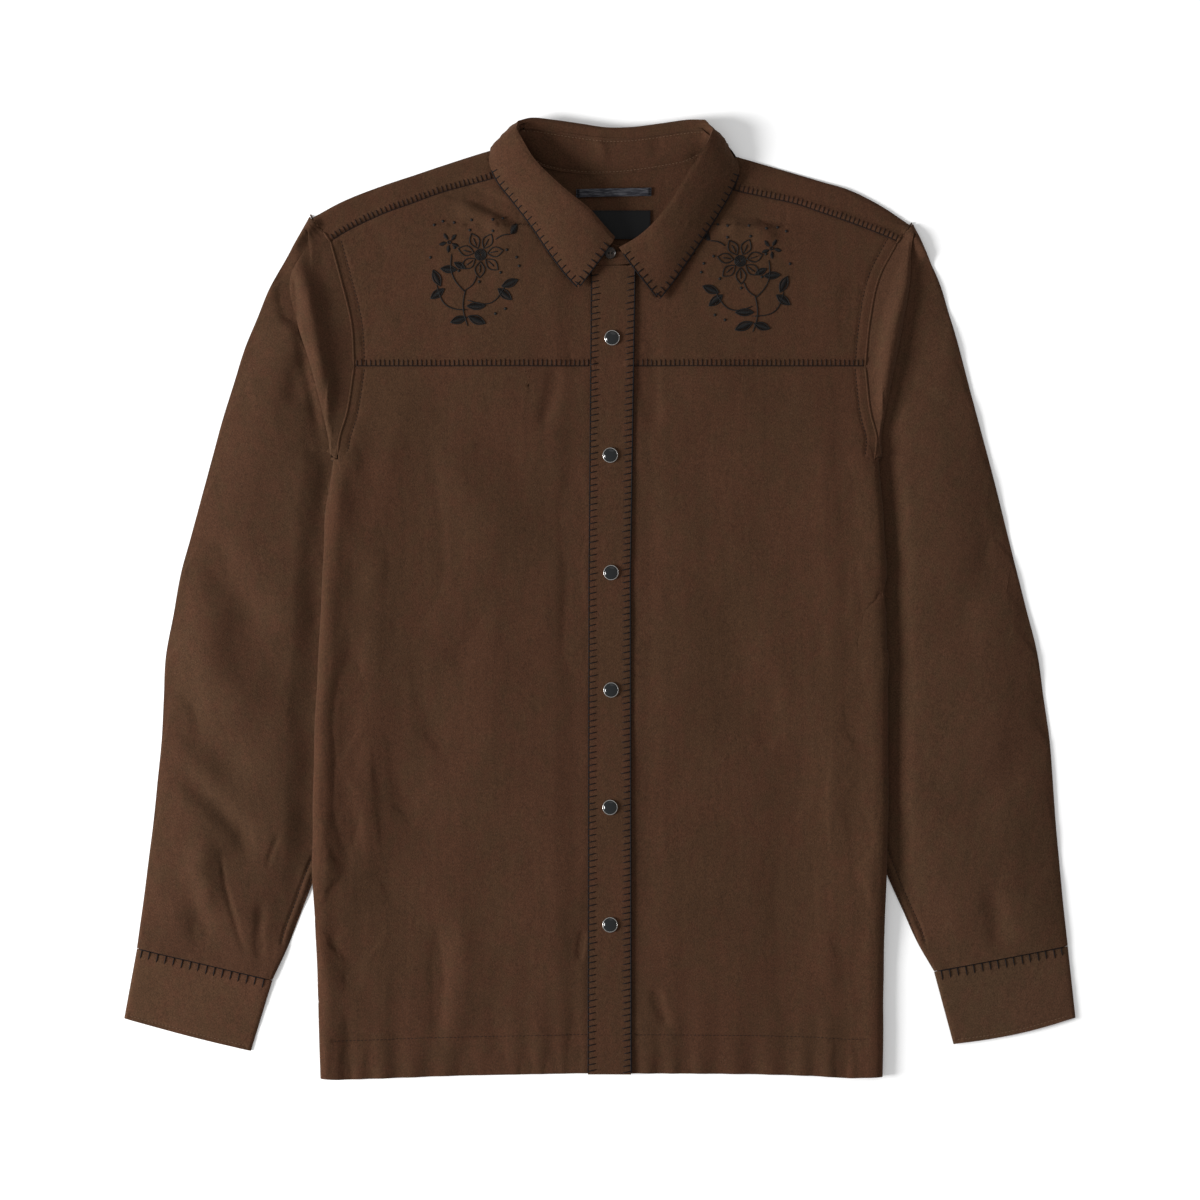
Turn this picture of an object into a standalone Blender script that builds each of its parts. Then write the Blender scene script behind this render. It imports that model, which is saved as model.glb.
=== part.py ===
# A button-up shirt laid flat on its back, front up, collar towards +Y.
# The side strips of the body are turned under, and the sleeves run down beneath the body's edges.
# Right and left are the wearer's: the wearer's right is at -X.
# Every panel is a wall of cloth built on its own middle surface. Sizes are in millimetres.

import bpy
import numpy as np

MM = 0.001

# Driving sizes
CLOTH = 1.2  # thickness of a cloth wall
COLLAR_CLOTH = 1.6  # collar pieces are two plies
SEAM = 0.3  # gap between two pieces that are sewn together
ARMHOLE_GAP = 0.5  # the same along the curved armhole
LAYER = CLOTH + SEAM  # rise from one laid layer to the next
BACK_REST = CLOTH / 2  # height of the back's middle surface on the table
FRONT_REST = BACK_REST + CLOTH + 0.6  # the fronts lie on the back with a little air
HEM_Y = -378.0
CHEST_SEAM_Y = 188.0
BACK_SEAM_Y = 222.0
ARMPIT_Y = 113.0
NECK_FRONT_Y = 267.5
NECK_UNDER_Y = 269.3  # the under front reaches a little higher
CENTRE_X = 8.5  # the line of the snaps
TUCK_WIDTH = 47.0  # strip of the body turned under at each side
TUCK_SLANT = 29.0  # the armhole's lower end drops this much across the strip
SLEEVE_LIFT = 3.5  # height of a flat sleeve, which lifts the body that lies on it
SLEEVE_MARGIN = 12.0  # the body stays up this far past the sleeve's inner edge
SLEEVE_RAMP = 34.0  # and comes down to the table over this width
SLEEVE_LOFT = 2.2  # how far the sleeve's front rises in its middle
PLEAT_DEPTH = 9.0  # the sleeve's pleat beside the armhole goes this far under its fold
NECK_CENTRE = (10.0, 312.0)
NECK_RADII = (80.0, 50.0)
NECK_RISE = 2.0  # the fronts rise to the collar stand's seam

# Snaps and button
SNAP_FIRST_Y, SNAP_PITCH, SNAP_COUNT = 210.4, 93.8, 6
SNAP_RADIUS, SNAP_HEIGHT = 6.1, 3.0
BUTTON_AT, BUTTON_RADIUS, BUTTON_HEIGHT = (11.0, 276.6), 4.9, 1.8
BUTTON_LIFT = 0.8  # its thread shank


def table(columns, rows):
    return {name: np.array(values, float) for name, values in zip(columns, zip(*rows))}


def read(values, key, column, at):
    """Reads a column of a table between its rows, whichever way the key runs."""
    order = np.argsort(values[key])
    return np.interp(at, values[key][order], values[column][order])


# The body's side edge up to the armpit, then the armhole seam up to the shoulder tip.
# "out" is the distance from X = 0, for the right and the left side.
EDGE = {
    "right": table(
        ("y", "out"),
        [
            (-381, 223.4), (-347, 224.6), (-290, 226.2), (-215, 230.0), (-160, 229.4),
            (-100, 228.0), (-40, 224.8), (20, 221.8), (70, 219.6), (113, 212.9),
            (130, 207.8), (150, 202.2), (188, 196.4), (222, 198.6), (258, 207.2),
            (288, 215.4), (307, 229.7),
        ],
    ),
    "left": table(
        ("y", "out"),
        [
            (-381, 226.0), (-347, 226.6), (-290, 227.0), (-215, 229.2), (-160, 230.6),
            (-100, 230.3), (-40, 230.3), (20, 229.2), (70, 226.4), (113, 222.6),
            (130, 220.6), (150, 216.0), (188, 211.9), (222, 215.2), (258, 222.6),
            (288, 238.0), (301, 247.6),
        ],
    ),
}
SIGN = {"right": -1.0, "left": 1.0}
BODY_ROWS = (HEM_Y, -347, -290, -215, -160, -100, -40, 20, 70, 113, 130, 150, 188)
ARM_ROWS = (130, 150, 188, 222, 258, 288)  # rows of the armhole above the armpit

# The hem's lower edge
HEM = table(
    ("x", "drop"),
    [(-224, 3.6), (-206, 4.4), (-120, 1.8), (0, -0.4), (120, 0.4), (176, 1.8), (200, 3.3), (226, 2.2)],
)

# Heights of the front's and the back's middle surface beside the rolled side edge
SIDE = table(
    ("inset", "front", "back"),
    [
        (6, 7.4, 5.3), (14, 7.9, 5.7), (28, 5.8, 3.9), (44, 5.9, 3.9),
        (56, 4.5, 2.4), (72, 3.2, 1.2), (94, 2.5, 0.6), (116, FRONT_REST, BACK_REST),
        (142, FRONT_REST, BACK_REST),
    ],
)
# The rolled edge itself, from the top round to the strip beneath
FRONT_ROLL = table(("inset", "z"), [(4.0, 6.9), (1.4, 5.7), (0.6, 3.7), (1.4, 1.7), (4.0, 0.6)])
BACK_ROLL = table(("inset", "z"), [(6.0, 5.3), (3.7, 4.9), (2.9, 3.7), (3.7, 2.5), (6.0, 2.1)])
TUCK_INSETS = (24.0, TUCK_WIDTH)

# The sleeve pleat's fold beside the armhole seam, and the height of its top layer
FOLD = {
    "right": table(
        ("y", "out", "top"),
        [(130, 217.3, 7.0), (150, 221.6, 6.0), (188, 231.3, 5.5), (222, 241.8, 5.3),
         (258, 248.0, 5.3), (288, 233.5, 4.4)],
    ),
    "left": table(
        ("y", "out", "top"),
        [(130, 224.9, 7.6), (150, 228.0, 6.3), (188, 235.7, 5.6), (222, 242.2, 5.4),
         (258, 248.0, 5.4), (288, 249.6, 4.4)],
    ),
}

# Sections down the sleeve: its outer edge and its inner edge, which starts beneath the body
SLEEVE = {
    "right": table(
        ("outer_x", "outer_y", "inner_x", "inner_y"),
        [
            (239.8, 296, 130, 74), (264, 251, 129, 52), (284, 203, 134, 20), (303, 142, 144, -16),
            (319, 82, 157, -50), (335, 24, 173, -90), (347.5, -44, 192, -135), (351, -112, 211, -180),
            (358, -182, 231, -228), (365.8, -243, 250, -277), (370.6, -278, 262.2, -303.6),
        ],
    ),
    "left": table(
        ("outer_x", "outer_y", "inner_x", "inner_y"),
        [
            (256, 293, 133, 74), (272, 254, 132, 54), (285, 211, 138, 22), (299, 158, 147, -12),
            (314.5, 100, 160, -48), (331, 34, 176, -88), (350, -42, 195, -133), (360, -112, 213, -178),
            (365, -180, 231, -222), (370.5, -240, 254, -273), (374.4, -276.2, 267.4, -296.6),
        ],
    ),
}
CUFF_END = {
    "right": {"outer": (380.9, -333.9), "inner": (279.5, -360.0), "bow": 0.6},
    "left": {"outer": (380.6, -333.4), "inner": (283.0, -354.6), "bow": 2.6},
}

# The shoulder: its fold is the outline seen from the front, the seam lies forward of it
SHOULDER = {
    "right": table(
        ("out", "fold_y", "seam_y"),
        [(229.7, 307, 288), (207.4, 319.2, 293.5), (174.7, 332.2, 309.6), (125.7, 348.6, 327.4),
         (90, 359.8, 337.0), (71, 364.8, 342.2)],
    ),
    "left": table(
        ("out", "fold_y", "seam_y"),
        [(247.6, 301, 288), (225.4, 315.9, 293.4), (199.4, 329, 303.4), (156.6, 341.9, 318.0),
         (112, 354.8, 327.8), (95, 359.6, 332.6)],
    ),
}

# The collar, from its right front end round the neck to its left front end.
# neck is the seam to the body, fold the turn between stand and leaf, edge the leaf's free edge.
COLLAR = table(
    ("neck_x", "neck_y", "neck_z", "fold_x", "fold_y", "fold_z", "edge_x", "edge_y", "edge_z"),
    [
        (20, 270.8, 3.0, 20, 286, 7.8, 0, 0, 0),
        (8, 270.4, 3.2, 11.2, 289.6, 10.5, -17.2, 249.8, 8.4),
        (-6, 273.6, 4.2, 1, 300.5, 14, -27.5, 261, 7.8),
        (-20, 282, 4.4, -8.6, 311.2, 17, -40.5, 278.5, 7.4),
        (-40, 299, 4.5, -24, 323.5, 20, -57.5, 303.5, 7.0),
        (-54, 318, 4.5, -39, 336.5, 21.5, -70.8, 321, 6.8),
        (-63, 335, 4.5, -53, 351, 22, -81.8, 335.5, 6.8),
        (-68, 350, 4.2, -61, 364, 21.5, -88, 350, 6.6),
        (-69, 362.6, 2.4, -67, 375.5, 19, -87, 362, 4.6),
        (-62, 361, 1.7, -65, 381.4, 15, -76, 372, 1.6),
        (-55, 354, 1.7, -55.5, 384.2, 11.5, -61, 366, 1.0),
        (-44, 348, 1.7, -38, 383, 9.5, -42, 354, 0.9),
        (-18.8, 343.2, 1.7, -15.8, 380, 8.6, -17, 348, 0.9),
        (4.8, 342.4, 1.7, 5, 377, 8.2, 5, 346.6, 0.9),
        (26.4, 344, 1.7, 25, 377.2, 8.2, 26, 348.4, 0.9),
        (51, 347.8, 1.7, 50, 380.2, 8.8, 51, 352.4, 0.9),
        (70, 352, 1.7, 71, 382.8, 10.4, 71, 358.6, 0.9),
        (80, 356.8, 1.7, 83.5, 382.4, 13, 84, 368, 1.0),
        (90, 358.4, 2.4, 90, 374.5, 18, 101, 365, 2.6),
        (93, 351, 4.2, 85.6, 363.4, 21, 108.5, 354, 5.6),
        (93.5, 341, 4.5, 78.4, 352, 22.5, 110.6, 342.5, 6.8),
        (88, 326, 4.5, 68.6, 336.6, 22.8, 104.6, 327.5, 6.8),
        (78, 309, 4.5, 57.4, 318, 21.5, 92.8, 307, 6.8),
        (64, 293, 4.5, 43.4, 300.6, 18.5, 76.5, 281.8, 7.2),
        (45, 279, 4.6, 30.6, 289.5, 15, 60, 257.6, 8.0),
        (26, 270.4, 5.4, 15.8, 281, 12.8, 47, 240.5, 8.6),
        (-6, 268.6, 6.2, -6, 285, 11.0, 0, 0, 0),
    ],
)
STAND_SHARE = 0.77  # the stand ends this far up, the leaf starts there and turns over
COLLAR_TURN = 2.8  # height of the turn between stand and leaf
COLLAR_GAP = 1.1  # between the stand's top and the leaf's start, along the curved neck
STAND_BELLY = 0.8
LEAF_BELLY = 2.0  # how far the leaf bows outwards

PLACKET = table(("y", "right_x", "left_x"), [(-378, -9.6, 24.8), (20, -8.9, 24.2), (267.4, -6.8, 28.0)])

LOOP_AT, LOOP_SIZE, LOOP_TILT = (11.0, 327.0), (60.0, 6.5), 0.02
LABEL_AT, LABEL_SIZE = (10.3, 301.2), (60.0, 22.8)


def smooth(t):
    t = np.clip(t, 0.0, 1.0)
    return t * t * (3.0 - 2.0 * t)


def shares(points):
    """How far along its path each point lies, from 0 to 1."""
    points = np.asarray(points, float)
    steps = np.linalg.norm(np.diff(points, axis=0), axis=1)
    along = np.concatenate([[0.0], np.cumsum(steps)])
    return along / along[-1]


def patch(bottom, top, first, last):
    """A grid stretched between four edges: rows run from bottom to top, columns from first to last."""
    bottom, top, first, last = (np.asarray(edge, float) for edge in (bottom, top, first, last))
    across = shares(bottom)[None, :, None] * 0.5 + shares(top)[None, :, None] * 0.5
    up = shares(first)[:, None, None] * 0.5 + shares(last)[:, None, None] * 0.5
    flat = (1 - up) * bottom[None] + up * top[None]
    sides = (1 - across) * first[:, None] + across * last[:, None]
    low = (1 - across) * bottom[0] + across * bottom[-1]
    high = (1 - across) * top[0] + across * top[-1]
    return flat + sides - ((1 - up) * low + up * high)


def material(name, colour, roughness, metallic=0.0):
    made = bpy.data.materials.new(name)
    made.use_nodes = True
    shader = made.node_tree.nodes["Principled BSDF"]
    shader.inputs["Base Color"].default_value = (*colour, 1.0)
    shader.inputs["Roughness"].default_value = roughness
    shader.inputs["Metallic"].default_value = metallic
    made.diffuse_color = (*colour, 1.0)
    return made


def add_object(name, vertices, faces, finish, shift, smooth_faces=True):
    mesh = bpy.data.meshes.new(name)
    placed = (np.asarray(vertices) + shift) * MM
    mesh.from_pydata(placed.tolist(), [], faces)
    mesh.materials.append(finish)
    if smooth_faces:
        mesh.shade_smooth()
        mesh.set_sharp_from_angle(angle=0.8)
    mesh.update()
    obj = bpy.data.objects.new(name, mesh)
    bpy.context.scene.collection.objects.link(obj)
    return obj


def point_normals(grid, ring, present):
    """The normal at each grid point, from the cells around it that are there."""
    ahead = np.roll(grid, -1, axis=1) if ring else grid[:, 1:]
    here = grid if ring else grid[:, :-1]
    across = ahead[1:] - here[:-1]
    other = here[1:] - ahead[:-1]
    cells = np.cross(across, other) * present[..., None]
    total = np.zeros_like(grid)
    columns = cells.shape[1]
    for row_step in (0, 1):
        for column_step in (0, 1):
            rows = slice(row_step, row_step + cells.shape[0])
            if ring:
                total[rows] += np.roll(cells, column_step, axis=1)
            else:
                total[rows, column_step:column_step + columns] += cells
    return total / np.maximum(np.linalg.norm(total, axis=2, keepdims=True), 1e-9)


def halves_of(loop, points):
    """Splits a cell along the diagonal that falls away from the middle, so that layers match."""
    diagonal = points[loop[2]] - points[loop[0]]
    outwards = np.sign(points[loop].mean(axis=0)[0])
    if diagonal[0] * outwards * diagonal[1] < 0:
        return [loop[:3], [loop[2], loop[3], loop[0]]]
    return [loop[1:], [loop[3], loop[0], loop[1]]]


def wall(name, grid, finish, shift, thickness=CLOTH, ring=False, present=None):
    """A closed wall of cloth on the middle surface given by a grid of points."""
    grid = np.asarray(grid, float)
    rows, columns = grid.shape[:2]
    cell_columns = columns if ring else columns - 1
    if present is None:
        present = np.ones((rows - 1, cell_columns), bool)
    half = point_normals(grid, ring, present) * thickness / 2
    points = np.concatenate([(grid + half).reshape(-1, 3), (grid - half).reshape(-1, 3)])
    middle = grid.reshape(-1, 3)
    below = rows * columns

    def corner(row, column):
        return row * columns + column % columns

    faces = []
    edges = {}
    for row in range(rows - 1):
        for column in range(cell_columns):
            if not present[row, column]:
                continue
            loop = [corner(row, column), corner(row, column + 1),
                    corner(row + 1, column + 1), corner(row + 1, column)]
            for triangle in halves_of(loop, middle):
                faces.append(triangle)
                faces.append([index + below for index in triangle[::-1]])
            for start, end in zip(loop, loop[1:] + loop[:1]):
                edges[(start, end)] = True
    for start, end in edges:
        if (end, start) not in edges:
            faces.append([end, start, start + below, end + below])
    used = sorted({index for face in faces for index in face})
    place = {index: number for number, index in enumerate(used)}
    faces = [[place[index] for index in face] for face in faces]
    return add_object(name, points[used], faces, finish, shift)


# ---------------------------------------------------------------- heights of the laid layers


def edge_out(side, y):
    return read(EDGE[side], "y", "out", y)


def upper_share(y):
    """How much of the side's height is left above the armpit."""
    return np.interp(y, (113, 130, 150, 188), (1.0, 0.55, 0.25, 0.0))


def sleeve_lift(side, inset, y):
    """The rise where a sleeve lies beneath the body."""
    reach = edge_out(side, y) - read(SLEEVE[side], "inner_y", "inner_x", min(y, 70.0)) + SLEEVE_MARGIN
    below_cuff = smooth((y - SLEEVE[side]["inner_y"][-1]) / 70.0)
    return SLEEVE_LIFT * below_cuff * smooth((reach + SLEEVE_RAMP - inset) / SLEEVE_RAMP)


def layer_z(side, layer, inset, y):
    rest = FRONT_REST if layer == "front" else BACK_REST
    raised = sleeve_lift(side, inset, y) + np.interp(inset, SIDE["inset"], SIDE[layer])
    return rest + upper_share(y) * (raised - rest)


def neck_rise(x, y):
    away = np.hypot((x - NECK_CENTRE[0]) / NECK_RADII[0], (y - NECK_CENTRE[1]) / NECK_RADII[1])
    return NECK_RISE * smooth((1.45 - away) / 0.4)


def hem_y(x, row_y):
    share = {BODY_ROWS[0]: 1.0, BODY_ROWS[1]: 0.6, BODY_ROWS[2]: 0.2}.get(row_y, 0.0)
    return row_y - share * np.interp(x, HEM["x"], HEM["drop"])


def placket_x(column, y):
    return read(PLACKET, "y", column, y)


# ---------------------------------------------------------------- fronts and back


def side_columns(side, layer, y):
    """One row's points from the flat part out to the side edge and round under it."""
    roll = FRONT_ROLL if layer == "front" else BACK_ROLL
    insets = SIDE["inset"][:0:-1] if layer == "back" else SIDE["inset"][::-1]
    edge = edge_out(side, y)
    points = [(edge - inset, y, layer_z(side, layer, inset, y)) for inset in insets]
    above = y > ARMPIT_Y
    under = roll["z"][-1]
    for number, (inset, z) in enumerate(zip(roll["inset"], roll["z"])):
        if above:
            points.append((edge, y, layer_z(side, layer, 0.0, y)))
        else:
            lowered = TUCK_SLANT * inset / TUCK_WIDTH if y == ARMPIT_Y and number == 4 else 0.0
            points.append((edge - inset, y - lowered, z + sleeve_lift(side, inset, y)))
    slant = {ARMPIT_Y: TUCK_SLANT, 70: 14.0}.get(y, 0.0)
    for inset in TUCK_INSETS:
        z = under + sleeve_lift(side, inset, y)
        points.append((edge - inset, y - slant * inset / TUCK_WIDTH, z))
    return points


def body_grid(side, layer, centre):
    """Rows of one side of the body, from its centre columns out to the strip turned under."""
    rows = []
    for y in BODY_ROWS:
        outer = side_columns(side, layer, y)
        row = [(x, y, z) for x, z in centre(y)]
        for out, point_y, z in outer:
            row.append((SIGN[side] * out, point_y, z))
        drop = 0.0 if layer == "front" else 1.2
        rows.append([(x, hem_y(x, point_y) + (drop if y == HEM_Y else 0.0), z) for x, point_y, z in row])
    return np.array(rows)


def body_mask(grid, first_roll_column):
    """Above the armpit the roll and the strip beneath it are absent."""
    present = np.ones((grid.shape[0] - 1, grid.shape[1] - 1), bool)
    armpit_row = BODY_ROWS.index(113)
    present[armpit_row:, first_roll_column:] = False
    return present


def front_centre(side):
    def right(y):
        return [(placket_x("left_x", y) - 3.0, BACK_REST + LAYER),
                (placket_x("right_x", y) - 5.0, BACK_REST + LAYER), (-62.0, FRONT_REST)]

    def left(y):
        return [(placket_x("right_x", y) + 0.6, BACK_REST + 2 * LAYER),
                (placket_x("left_x", y) + 2.0, BACK_REST + 2 * LAYER), (52.0, FRONT_REST)]

    return right if side == "right" else left


def build_front(side, finish, shift):
    grid = body_grid(side, "front", front_centre(side))
    present = body_mask(grid, 3 + len(SIDE["inset"]))
    return wall("front_" + side, grid, finish, shift, present=present)


def build_back(finish, shift):
    halves = {}
    for side in ("right", "left"):
        halves[side] = body_grid(side, "back", lambda y: [])
    upper = {}
    for side, grid in halves.items():
        edge = edge_out(side, BACK_SEAM_Y)
        extra = grid[-1].copy()
        extra[:, 1] = BACK_SEAM_Y
        extra[:, 0] += SIGN[side] * (edge - edge_out(side, CHEST_SEAM_Y))
        upper[side] = np.concatenate([grid, extra[None]])
    middle = upper["left"][:, :1].copy()
    middle[:, :, 0] = 0.0
    middle[:, :, 2] = BACK_REST
    middle[:, :, 1] = [[hem_y(0.0, y) + (1.2 if y == HEM_Y else 0.0)] for y in (*BODY_ROWS, BACK_SEAM_Y)]
    grid = np.concatenate([upper["right"][:, ::-1], middle, upper["left"]], axis=1)
    present = np.ones((grid.shape[0] - 1, grid.shape[1] - 1), bool)
    turned = len(BACK_ROLL["z"]) - 1 + len(TUCK_INSETS)
    armpit_row = BODY_ROWS.index(113)
    present[armpit_row:, :turned] = False
    present[armpit_row:, -turned:] = False
    return wall("back", grid, finish, shift, present=present)


def build_placket(finish, shift):
    rows = []
    for y in (*BODY_ROWS[:-1], CHEST_SEAM_Y, BACK_SEAM_Y, 250.0, NECK_FRONT_Y):
        ends = placket_x("right_x", y), placket_x("left_x", y)
        z = BACK_REST + 3 * LAYER + (0.8 * smooth((y - 235.0) / 32.0))
        rows.append([(x, hem_y(x, y) - (0.6 if y == HEM_Y else 0.0), z)
                     for x in (ends[0], sum(ends) / 2, ends[1])])
    return wall("placket", rows, finish, shift)


# ---------------------------------------------------------------- yokes


def front_yoke_z(side, x, y):
    if side == "left":
        near = smooth((52.0 - x) / 22.0)
        rest = FRONT_REST + near * (BACK_REST + 2 * LAYER - FRONT_REST)
    else:
        near = smooth((x + 30.0) / 20.0)
        rest = FRONT_REST + near * (BACK_REST + LAYER - FRONT_REST)
    if side == "right":
        return rest + neck_rise(x, y) * (1.0 - smooth((x + 34.0) / 24.0))
    return rest + neck_rise(x, y) * smooth((x - 18.0) / 25.0)


def neck_points(side):
    """The front neck edge from the shoulder down to the front end."""
    rows = range(1, 8) if side == "right" else range(20, 26)
    points = [(COLLAR["neck_x"][row], COLLAR["neck_y"][row]) for row in rows]
    return points[::-1] if side == "right" else points


def build_front_yoke(side, finish, shift):
    sign = SIGN[side]
    shoulder = SHOULDER[side]
    seam = [(sign * out, y - SEAM) for out, y in zip(shoulder["out"], shoulder["seam_y"])]
    seam[0] = (sign * edge_out(side, 288 - SEAM), 288 - SEAM)
    centre_x = placket_x("left_x", 260) - 3.0 if side == "right" else placket_x("right_x", 260) + 0.6
    neck = [(x + sign * 0.4, y - 0.9) for x, y in neck_points(side)]
    centre_y = NECK_UNDER_Y if side == "right" else NECK_FRONT_Y
    top = seam + neck[1:] + [(centre_x, centre_y)]
    first = [(sign * edge_out(side, y), y) for y in (CHEST_SEAM_Y + SEAM, 222, 258, 288 - SEAM)]
    share = shares(top)
    bottom_x = first[0][0] + (centre_x - first[0][0]) * (0.35 * share + 0.65 * np.linspace(0, 1, len(top)))
    bottom = [(x, CHEST_SEAM_Y + SEAM) for x in bottom_x]
    last = [(centre_x, y) for y in np.linspace(CHEST_SEAM_Y + SEAM, centre_y, 4)]
    flat = patch(bottom, top, first, last)
    height = np.vectorize(lambda x, y: front_yoke_z(side, x, y))
    grid = np.concatenate([flat, height(flat[..., 0], flat[..., 1])[..., None]], axis=2)
    return wall("front_yoke_" + side, grid, finish, shift)


def build_yoke(finish, shift):
    """The back yoke: rows run from the forward shoulder seams over the shoulders and down the back."""
    columns = []
    for side in ("right", "left"):
        sign = SIGN[side]
        shoulder = SHOULDER[side]
        part = []
        for number, out in enumerate(shoulder["out"]):
            fold, seam = shoulder["fold_y"][number], shoulder["seam_y"][number]
            x = sign * out
            start_x = sign * edge_out(side, 288) if number == 0 else x
            top = front_yoke_z(side, x, seam)
            middle = (x + start_x) / 2
            part.append([
                (start_x, seam, front_yoke_z(side, x, seam)),
                (middle, (seam + fold) / 2, top + 0.3 if number else top),
                (x - sign * 1.0, fold - 2.4, max(top, BACK_REST + 1.9)),
                (x, fold - 0.6, (top + BACK_REST) / 2),
                (x - sign * 1.0, fold - 2.4, BACK_REST),
            ])
        columns.append(part)
    neck = [(x, y) for x, y in zip(COLLAR["neck_x"][10:18], COLLAR["neck_y"][10:18])]
    right, left = columns
    fronts = right + [None] * len(neck) + left[::-1]
    top = [part[4][:2] for part in right]
    top += [(x, y - 0.5) for x, y in neck]
    top += [part[4][:2] for part in left[::-1]]
    ends = []
    for side in ("right", "left"):
        corner = top[0] if side == "right" else top[-1]
        armhole = [(SIGN[side] * edge_out(side, y), y) for y in (288, 258, BACK_SEAM_Y + SEAM)]
        near_neck = 0.72 * np.array(corner) + 0.28 * np.array(armhole[0])
        ends.append([corner, near_neck, *armhole])
    bottom = [(x, BACK_SEAM_Y + SEAM) for x in
              ends[0][-1][0] + (ends[1][-1][0] - ends[0][-1][0]) * (0.5 * shares(top)
                                                                  + 0.5 * np.linspace(0, 1, len(top)))]
    down = patch(top, bottom, ends[0], ends[1])
    rise = np.zeros(down.shape[:2])
    rise[0, len(right):len(right) + len(neck)] = 1.1
    lower = np.concatenate([down, (BACK_REST + rise)[..., None]], axis=2)
    upper = np.zeros((4, len(top), 3))
    for number, part in enumerate(fronts):
        for row in range(4):
            upper[row, number] = part[row] if part else lower[0, number] + (0, 0.1 * (4 - row), 0)
    grid = np.concatenate([upper, lower])
    present = np.ones((grid.shape[0] - 1, grid.shape[1] - 1), bool)
    present[:4, len(right) - 1:len(right) + len(neck)] = False
    return wall("yoke", grid, finish, shift, present=present)


# ---------------------------------------------------------------- sleeves and cuffs


def sleeve_loft(side, x, y):
    """How far the sleeve's front rises between its outer edge and what lies over it."""
    fold = FOLD[side]
    if y > ARMPIT_Y:
        inner = read(fold, "y", "out", y) + 3.0
    elif y > SLEEVE[side]["inner_y"][7]:
        inner = edge_out(side, y) + 3.0
    else:
        inner = max(edge_out(side, y) + 3.0, read(SLEEVE[side], "inner_y", "inner_x", y) + 2.0)
    outer = read(SLEEVE[side], "outer_y", "outer_x", y)
    return SLEEVE_LOFT * smooth((x - inner) / 34.0) * smooth((outer - x) / 20.0)


def pleat_column(side, y):
    """The front wall's points from the armhole seam over the fold and back under it."""
    seam = edge_out(side, y) + ARMHOLE_GAP
    fold = read(FOLD[side], "y", "out", y)
    top = read(FOLD[side], "y", "top", y)
    start = layer_z(side, "front", 0.0, y)
    depth = min(PLEAT_DEPTH, 0.42 * (fold - seam))
    low = BACK_REST + LAYER
    back = low + LAYER
    lean = 0.45 * (seam + fold)
    return [
        (seam, y, start),
        (lean + 0.1 * fold, y, 0.35 * start + 0.65 * top),
        (fold - 2.6, y, top),
        (fold - 0.6, y, (top + back) / 2),
        (fold - 2.4, y, back),
        (fold - depth, y, (back + low) / 2),
        (fold - depth + 1.6, y, low),
    ]


def armpit_columns(side):
    """Front-wall points where the seam passes over the rolled edge, then along the hidden end."""
    edge = edge_out(side, ARMPIT_Y)
    low = BACK_REST + LAYER
    start = ARMPIT_Y + 1.1
    over = [(2.9, 0.0, 10.2), (1.0, 1.6, 9.8), (-1.2, 2.6, 8.6), (-2.2, 3.2, 6.4),
            (-2.0, 3.4, 4.6), (-1.4, 2.6, 3.0), (-1.2, 0.8, 2.2)]
    beside = [(0.6, 0.0, 6.9), (-0.4, 0.9, 6.5), (-1.2, 1.4, 5.8), (-1.8, 1.6, 4.8),
              (-1.8, 1.2, 3.8), (-1.4, 0.0, 2.8), (-0.6, -2.4, low)]
    under = [(4.0 - 0.4 * row, -0.2 - 1.1 * row, low) for row in range(7)]
    columns = [[(edge - inset, start + y, z) for inset, y, z in column] for column in (under, beside, over)]
    deep = [(170.0, 94.0 - 1.2 * row, low) for row in range(7)]
    end = [(132.5, 79.4 - 0.9 * row, low) for row in range(7)]
    return [end, deep, *columns]


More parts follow.
